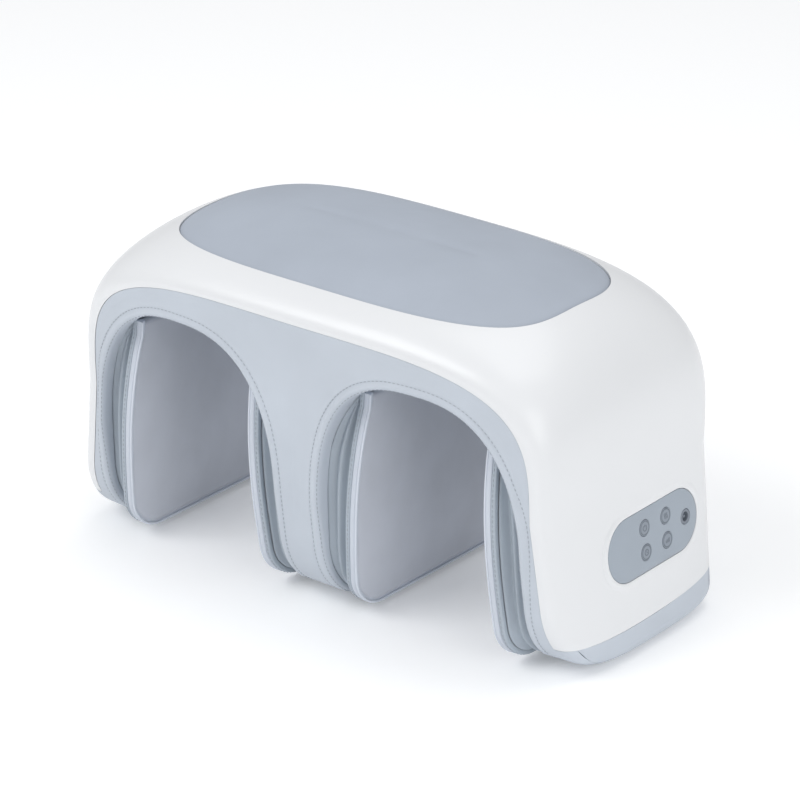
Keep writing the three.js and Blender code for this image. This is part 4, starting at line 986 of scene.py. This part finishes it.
def padPath(down, reach):
    # The outline below this level: down one side, along the bottom and up the other,
    # with both ends drawn up over the hinge.
    rows = [(place, inward) for place, inward in zip(padRim, padInward) if place[1] > down]
    ends = [(np.array([place[0], -reach]), np.array([copysign(1.0, -place[0]), 0.0]))
            for place, _ in (rows[0], rows[-1])]
    return [ends[0], *rows, ends[1]]


def padLine(inset, out):
    # Frames along the band, in the pad's own place: depth, down and out.
    return [(Vector((*(rim + inward * inset), out)), Vector((*inward, 0)), Vector((0, 0, 1)))
            for rim, inward in padPath(pad["bandStart"], pad["topReach"])]


def placedOnPad(name, source, spot):
    # A copy of a piece made in the pad's own place, set on one of the four pads.
    mesh = source.data.copy()
    mesh.name = name
    for vertex in mesh.vertices:
        vertex.co = padToBody(spot, *vertex.co)
    turnOutwards(mesh, 0.0001 * mm)
    return shadeSmooth(addObject(name, mesh), 60)


def padFaceBlank():
    # The stuffed face before it swells: a flat cushion inside the band. Its top edge goes
    # right up over the hinge.
    half = pad["halfThickness"] - 0.5 * mm
    centre = np.array([0.0, padLength / 2])
    rim = padRim + padInward * pad["faceInset"]
    top = padRim[:, 1] < pad["topRadius"]
    rim[top, 1] = padRim[top, 1] - pad["topReach"]
    profile = [(0.25, -half), (0.7, -half), (0.97, -half), (1.0, -half * 0.5), (1.0, half * 0.6),
               (0.985, half + 0.3 * mm), (0.8, half + 0.8 * mm), (0.5, half + 1.0 * mm),
               (0.25, half + 1.0 * mm)]
    return ringSolid("padFaceBlank", [[(*(centre + (p - centre) * share), out) for p in rim]
                                      for share, out in profile], 60)


faceSwell = {
    "voxel": 3.6 * mm,
    "border": 3.4 * mm,
    "frames": 20,
    "cap": 6 * mm,
    "cloth": {"use_pressure": True, "uniform_pressure_force": 4.0, "quality": 6, "bending_stiffness": 2.0},
}


def swellFace(piece):
    # Remesh, then air pressure in a cloth skin pinned round its back and border.
    remesh = piece.modifiers.new("evenSkin", "REMESH")
    remesh.mode = "VOXEL"
    remesh.voxel_size = faceSwell["voxel"]
    finishMesh(piece)
    rest = np.array([v.co for v in piece.data.vertices])
    rim = padRim + padInward * pad["faceInset"]
    toRim = segmentDistance(rest[:, :2], rim, np.roll(rim, -1, axis=0))
    held = piece.vertex_groups.new(name="held")
    for i, co in enumerate(rest):
        if co[2] < pad["halfThickness"] / 2 or toRim[i] < faceSwell["border"]:
            held.add([i], 1.0, "REPLACE")
    cloth = piece.modifiers.new("swell", "CLOTH")
    for name, value in faceSwell["cloth"].items():
        setattr(cloth.settings, name, value)
    cloth.settings.vertex_group_mass = "held"
    cloth.settings.effector_weights.gravity = 0
    cloth.point_cache.frame_start = 1
    cloth.point_cache.frame_end = faceSwell["frames"]
    for number in range(1, faceSwell["frames"] + 1):
        bpy.context.scene.frame_set(number)
    finishMesh(piece)
    bpy.context.scene.frame_set(1)
    move = np.array([v.co for v in piece.data.vertices]) - rest
    length = np.linalg.norm(move, axis=1)
    share = np.minimum(1.0, faceSwell["cap"] / np.maximum(length, 1e-9))
    print("pad face: greatest swell", round(float(length.max()) / mm, 2), "mm before the cap")
    for vertex, co in zip(piece.data.vertices, rest + move * share[:, None]):
        vertex.co = co
    piece.vertex_groups.clear()
    fine = piece.modifiers.new("fine", "SUBSURF")
    fine.levels = fine.render_levels = 1
    return finishMesh(piece, 60)


def makePads():
    face = swellFace(padFaceBlank())
    trims = {}
    for name, (halfAcross, halfOut, inset, shift, power, steps, finish) in padTrims.items():
        section = [superPoint(halfAcross, halfOut, power, 2 * pi * i / steps) for i in range(steps)]
        rings = [[origin + across * a + out * b for a, b in section]
                 for origin, across, out in padLine(inset, shift)]
        trims[name] = (ringSolid("pad" + name, rings, 60, flatEnds=True), finish)
    seam = [place for place, _, _ in padLine(*padSeam)]
    for spot in padSpots:
        node, name = spot[0] + "_pad", spot[1] + "Pad"
        body = spot[0] + "_panel"
        velvet = placedOnPad(name + "Face", face, spot)
        dressPiece(velvet, body, "pad_velvet", [node])
        for trim, (source, finish) in trims.items():
            piece = placedOnPad(name + trim, source, spot)
            dressPiece(piece, body, finish, [node] if trim == "Band" else (), "pad_velvet")
        addStitches(name + "Stitches", [[padToBody(spot, *place) for place in seam]], body)
    for piece in (face, *(source for source, _ in trims.values())):
        bpy.data.objects.remove(piece)
    print("pads: four velvet faces with bands, piping and stitches")


# Gussets and airbags behind the pads

gusset = {
    "inset": 3.6 * mm,
    "wallShare": 0.2,
    "start": 3 * mm,
    "reach": 2 * mm,
    "pleatDepth": 4.5 * mm,
    "pleatRoom": 20 * mm,
    "pleats": 2,
    "folds": 28,
    "wall": 1.1 * mm,
}

airbag = {
    "clearance": 1.2 * mm,
    # Each has its share of the way from the pad to the wall, and its inset in mm.
    "layers": ((0.3, 60), (0.3, 24), (0.38, 19), (0.5, 16.5), (0.7, 15.5), (0.88, 17), (0.97, 20),
               (1.0, 26), (1.0, 60)),
}


def tunnelReach(z, offset):
    rise = (z - tunnel["spring"]) / (tunnel["height"] + offset - tunnel["spring"])
    return (tunnel["halfWidth"] + offset) * roundness(max(0.0, rise), tunnel["power"])


def wallPoint(spot, onPad, clearance, inset):
    # Level with a place on the back of a pad, just off the liner, clear of the fascias.
    centre, side = spot[2] * tunnel["offset"], spot[3]
    x = centre + side * (tunnelReach(onPad.z, tunnel["linerSetback"]) - clearance)
    front, rear = boardDepths(x, onPad.z, inset)
    return Vector((x, max(front, min(rear, onPad.y)), onPad.z))


def acrossGap(spot):
    # The way from the tunnel's wall to the back of the pad, at the pad's middle.
    onPad = padToBody(spot, 0.0, padLength * 0.7, -pad["halfThickness"])
    return tuple(wallPoint(spot, onPad, form["gap"], 0.0)), tuple(onPad)


def makeGusset(spot):
    # Runs down the front edge, along the bottom and up the rear edge, with shallow
    # folds where the gap is narrow.
    path = padPath(gusset["start"], gusset["reach"])
    gap = form["gap"]

    def onPad(i, inset):
        depth, down = path[i][0] + path[i][1] * inset
        return padToBody(spot, depth, down, -pad["halfThickness"] - gap)

    def pointAt(a, b, c):
        edge = onPad(a, gusset["inset"])
        room = abs(wallPoint(spot, edge, gap, gusset["inset"]).x - edge.x)
        share = b / gusset["folds"]
        fold = gusset["pleatDepth"] * min(1.0, room / gusset["pleatRoom"])
        inset = gusset["inset"] * (1 - (1 - gusset["wallShare"]) * share) + c * gusset["wall"]
        inset += fold * (1.5 - share) * sin(pi * gusset["pleats"] * share) ** 2
        place = onPad(a, inset)
        return place.lerp(wallPoint(spot, place, gap, inset), share)

    piece = mappedBox(spot[1] + "Gusset", (len(path) - 1, gusset["folds"], 1), pointAt, 70)
    dressPiece(piece, spot[0] + "_panel", "gusset_fabric", [spot[0] + "_gusset"], None, acrossGap(spot))


def makeAirbag(spot):
    middle = np.array([0.0, padLength / 2])
    rings = []
    for share, inset in airbag["layers"]:
        ring = []
        for place in padRim[::2]:
            depth, down = middle + (place - middle) * (1 - inset * mm / pad["topHalfDepth"])
            onPad = padToBody(spot, depth, down, -pad["halfThickness"] - airbag["clearance"])
            ring.append(onPad.lerp(wallPoint(spot, onPad, form["gap"], inset * mm), share))
        rings.append(ring)
    piece = ringSolid(spot[1] + "Airbag", rings, 60)
    dressPiece(piece, spot[0] + "_panel", "airbag_film", [spot[0] + "_airbag"], None, acrossGap(spot))


# Stitches, one tree for every seam

stitch = {
    "Pitch": 3.3 * mm,
    "Length": 2.2 * mm,
    "Thickness": 0.62 * mm,
    "Thread": finishes["thread"],
}


def stitchTree():
    # One ball, drawn out along the seam, at every pitch of it.
    tree = bpy.data.node_groups.new("seamStitches", "GeometryNodeTree")
    kinds = {"Geometry": "Geometry", "Pitch": "Float", "Length": "Float", "Thickness": "Float",
             "Thread": "Material"}
    sockets = {name: tree.interface.new_socket(name, in_out="INPUT", socket_type="NodeSocket" + kind)
               for name, kind in kinds.items()}
    tree.interface.new_socket("Geometry", in_out="OUTPUT", socket_type="NodeSocketGeometry")
    given = addNode(tree, "NodeGroupInput").outputs
    curve = addNode(tree, "GeometryNodeMeshToCurve", {"Mesh": given["Geometry"]})
    points = addNode(tree, "GeometryNodeCurveToPoints", {
        "Curve": curve.outputs["Curve"], "Length": given["Pitch"]}, mode="LENGTH")
    ball = addNode(tree, "GeometryNodeMeshUVSphere", {"Segments": 8, "Rings": 6, "Radius": 0.5})
    size = addNode(tree, "ShaderNodeCombineXYZ", {
        "X": given["Thickness"], "Y": given["Thickness"], "Z": given["Length"]})
    placed = addNode(tree, "GeometryNodeInstanceOnPoints", {
        "Points": points.outputs["Points"], "Rotation": points.outputs["Rotation"],
        "Instance": ball.outputs["Mesh"], "Scale": size.outputs["Vector"]})
    real = addNode(tree, "GeometryNodeRealizeInstances", {"Geometry": placed.outputs["Instances"]})
    painted = addNode(tree, "GeometryNodeSetMaterial", {
        "Geometry": real.outputs["Geometry"], "Material": given["Thread"]})
    addNode(tree, "NodeGroupOutput", {"Geometry": painted.outputs["Geometry"]})
    return tree, {name: socket.identifier for name, socket in sockets.items()}


stitching, stitchSockets = stitchTree()


def addStitches(name, rows, body):
    verts, edges = [], []
    for row in rows:
        edges += [(len(verts) + i, len(verts) + i + 1) for i in range(len(row) - 1)]
        verts += [tuple(p) for p in row]
    mesh = bpy.data.meshes.new(name)
    mesh.from_pydata(verts, edges, [])
    piece = addObject(name, mesh)
    sewing = piece.modifiers.new("sewing", "NODES")
    sewing.node_group = stitching
    for key, value in stitch.items():
        sewing[stitchSockets[key]] = value
    finishMesh(piece)
    piece.data.shade_smooth()
    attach(piece, body)


def makeFasciaStitches():
    archSteps, count = fascia["stitchSteps"]
    rows = []
    for end in (-1, 1):
        outline = fasciaOutline(fasciaLines(end))
        for centre in (-tunnel["offset"], tunnel["offset"]):
            for inset, foot in fascia["stitchRows"]:
                seam = evenly(archLine(centre, inset, fascia["toe"] + foot, archSteps), count)
                rows.append(fasciaFront(seam, end, outline, fascia["stitchProud"]))
    addStitches("fasciaStitches", rows, "root")
    print("stitches: two rows round each arch")


# Control panel

panel = {
    "centreDepth": 12 * mm,
    "centreHeight": 73.2 * mm,
    "halfLength": 49 * mm,
    "radius": 21 * mm,
    "sink": 2.6 * mm,
    "overlayTop": 1.9 * mm,
    "overlayRoll": 0.45 * mm,
    "holeGap": 0.25 * mm,
    "holeRim": 0.15 * mm,
    "holeLevels": ((0.0, -8 * mm), (0.0, 4 * mm)),
    "pitchLength": 23.4 * mm,
    "pitchHeight": 16.5 * mm,
    "columnOffset": 3.3 * mm,
    "keyRadius": 5.4 * mm,
    "flangeLevels": (-3.9 * mm, -3.1 * mm),
    "socketOffset": 36.5 * mm,
    "socketRadius": 5 * mm,
}

keyForm = {
    "proud": 0.3 * mm,
    "stem": 2 * mm,
    "stemLow": -5.3 * mm,
    "flange": 6.8 * mm,
    "roll": 0.4 * mm,
    "groove": (0.74, 0.93),
    "grooveDepth": 0.12 * mm,
    "dish": 0.05 * mm,
    "dishShare": 0.3,
    "iconShare": 0.36,
    "iconWidth": 0.62 * mm,
    "iconSunk": 0.06 * mm,
    "iconProud": 0.05 * mm,
    "markHeight": 0.06 * mm,
}

socketForm = {
    "length": 11 * mm,
    "flange": 7 * mm,
    "bore": 3.15 * mm,
    "pin": 1.0 * mm,
    "pinSunk": 1.0 * mm,
    "edge": 0.3 * mm,
}


def panelPlace():
    depth, height, half = panel["centreDepth"], panel["centreHeight"], panel["halfLength"]
    width = {y: skinHalfWidth(y / sideDepth(height, y), height)
             for y in (depth - half, depth, depth + half)}
    length = Vector((width[depth + half] - width[depth - half], 2 * half, 0)).normalized()
    upright = Vector((-form["flareShare"], 0, 1)).normalized()
    outward = length.cross(upright).normalized()
    place = Matrix((length, outward.cross(length), outward)).transposed().to_4x4()
    place.translation = Vector((width[depth], depth, height)) - outward * panel["sink"]
    return place


panelMatrix = panelPlace()
keyNames = ("power", "mode", "heat", "level")
keyPlaces = [(panel["columnOffset"] + column * panel["pitchLength"] / 2, row * panel["pitchHeight"] / 2)
             for column in (-1, 1) for row in (1, -1)]


def panelSpot(x, y):
    return panelMatrix @ Matrix.Translation((x, y, 0))


def rolledEdge(radius, top, roll, steps):
    # A quarter round from the wall to the top, as pairs of radius and height.
    turns = [pi / 2 * i / steps for i in range(steps + 1)]
    return [(radius - roll * (1 - cos(turn)), top - roll * (1 - sin(turn))) for turn in turns]


def makeOverlay():
    # A round-ended plate with a rolled edge and a softened rim at each hole.
    top, low, rim = panel["overlayTop"], form["gap"], panel["holeRim"]
    levels = [(0.0, low)] + rolledEdge(0.0, top, panel["overlayRoll"], 5)
    plate = panelSolid("controlOverlay", levels, 32)
    bars = keyHoleCutter([(0.0, low - mm), (0.0, top - rim), (mm, top - rim + mm)])
    combine(plate, "DIFFERENCE", bars, 30)
    dressPiece(plate, "root", "panel_grey", ["control_overlay"])


def makeKey(name, spot):
    radius, top = panel["keyRadius"], panel["overlayTop"] + keyForm["proud"]
    stem, flange, dish = keyForm["stem"], keyForm["flange"], top - keyForm["dish"]
    under, over = panel["flangeLevels"]
    inner, outer = [radius * share for share in keyForm["groove"]]
    slope = keyForm["grooveDepth"]
    profile = [(0, keyForm["stemLow"]), (stem, keyForm["stemLow"]), (stem, under), (flange, under),
               (flange, over), (radius, over), *rolledEdge(radius, top, keyForm["roll"], 4),
               (outer, top), (outer - slope, top - slope), (inner + slope, top - slope), (inner, top),
               (radius * keyForm["dishShare"], dish), (0, dish)]
    dressPiece(lathe(name + "Key", profile, spot), name + "_button", "key_grey", [name + "_key"])
    verts, faces = [], []
    low = top - slope
    ring = circle((inner + outer) / 2, 56)
    addStroke(verts, faces, ring, outer - inner - 2 * slope, low, low + keyForm["markHeight"], spot, True)
    for stroke, closed in keyIcon(name, radius * keyForm["iconShare"]):
        addStroke(verts, faces, stroke, keyForm["iconWidth"], top - keyForm["iconSunk"],
                  top + keyForm["iconProud"], spot, closed)
    mark = addPiece(name + "KeyMark", verts, faces, 30, fineMerge)
    dressPiece(mark, name + "_button", "mark_grey", (), "key_grey")


def keyIcon(name, size):
    # Plain strokes: a broken ring with a bar, a clock, three waves and rising bars.
    if name == "power":
        arc = [(size * sin(a), size * cos(a)) for a in np.linspace(radians(38), radians(322), 26)]
        return [(arc, False), ([(0, size * 0.25), (0, size * 1.15)], False)]
    if name == "mode":
        hands = [(0, size * 0.6), (0, 0), (size * 0.45, -size * 0.25)]
        return [(circle(size, 31), True), (hands, False)]
    if name == "heat":
        return [([(size * (x + 0.18 * sin(pi * t)), size * (t - 1)) for t in np.linspace(0, 2, 16)], False)
                for x in (-0.7, 0, 0.7)]
    return [([(size * x, -size * 0.9), (size * x, size * (0.35 * x + 0.35))], False)
            for x in (-0.9, -0.3, 0.3, 0.9)]


def addStroke(verts, faces, points, width, low, high, spot, closed):
    # A flat ribbon of even width along a line of points.
    line = np.array(points, float)
    ahead = np.roll(line, -1, axis=0) - line
    behind = line - np.roll(line, 1, axis=0)
    if not closed:
        ahead[-1], behind[0] = behind[-1], ahead[0]
    across = leftOf(ahead) + leftOf(behind)
    across *= width / 2 / np.linalg.norm(across, axis=1)[:, None]
    base = len(verts)
    for place, side in zip(line, across):
        verts += [spot @ Vector((*(place + side * sign), height))
                  for sign, height in ((-1, low), (1, low), (1, high), (-1, high))]
    faces += quads(len(line), 4, base, closed=closed)
    if not closed:
        faces += [range(base, base + 4), range(len(verts) - 4, len(verts))]


def makeSocket():
    top, radius = panel["overlayTop"], panel["socketRadius"]
    low, pinTop = top - socketForm["length"], top - socketForm["pinSunk"]
    bore, pin, edge, flange = [socketForm[key] for key in ("bore", "pin", "edge", "flange")]
    under, over = panel["flangeLevels"]
    profile = [(0, low), (radius, low), (radius, under), (flange, under), (flange, over), (radius, over),
               (radius, top - edge), (radius - edge, top), (bore + edge, top), (bore, top - edge),
               (bore, top - bore), (pin, top - bore), (pin, pinTop - edge), (pin - edge, pinTop),
               (0, pinTop)]
    socket = lathe("chargingSocket", profile, panelSpot(panel["socketOffset"], 0))
    dressPiece(socket, "root", "socket_dark", ["charging_socket"])


dressNodes()
addCamera()
addStudio()
makeShell()
makeCushion()
makeFascia("frontFascia", "front_fascia", -1)
makeFascia("rearFascia", "rear_fascia", 1)
makeLegBase("leftLegBase", "left_leg_base", -1)
makeLegBase("centreLegBase", "centre_leg_base", 0)
makeLegBase("rightLegBase", "right_leg_base", 1)
print("leg bases: three leather bottoms")
makeLiner("leftTunnelLiner", "left_tunnel_liner", -1)
makeLiner("rightTunnelLiner", "right_tunnel_liner", 1)
print("liners: two arches")
makeFasciaStitches()
makePads()
for padSpot in padSpots:
    makeGusset(padSpot)
    makeAirbag(padSpot)
print("gussets and airbags: four of each")
makeOverlay()
for keyName, keyPlace in zip(keyNames, keyPlaces):
    makeKey(keyName, panelSpot(*keyPlace))
makeSocket()
print("panel: overlay, four keys with marks and the socket")
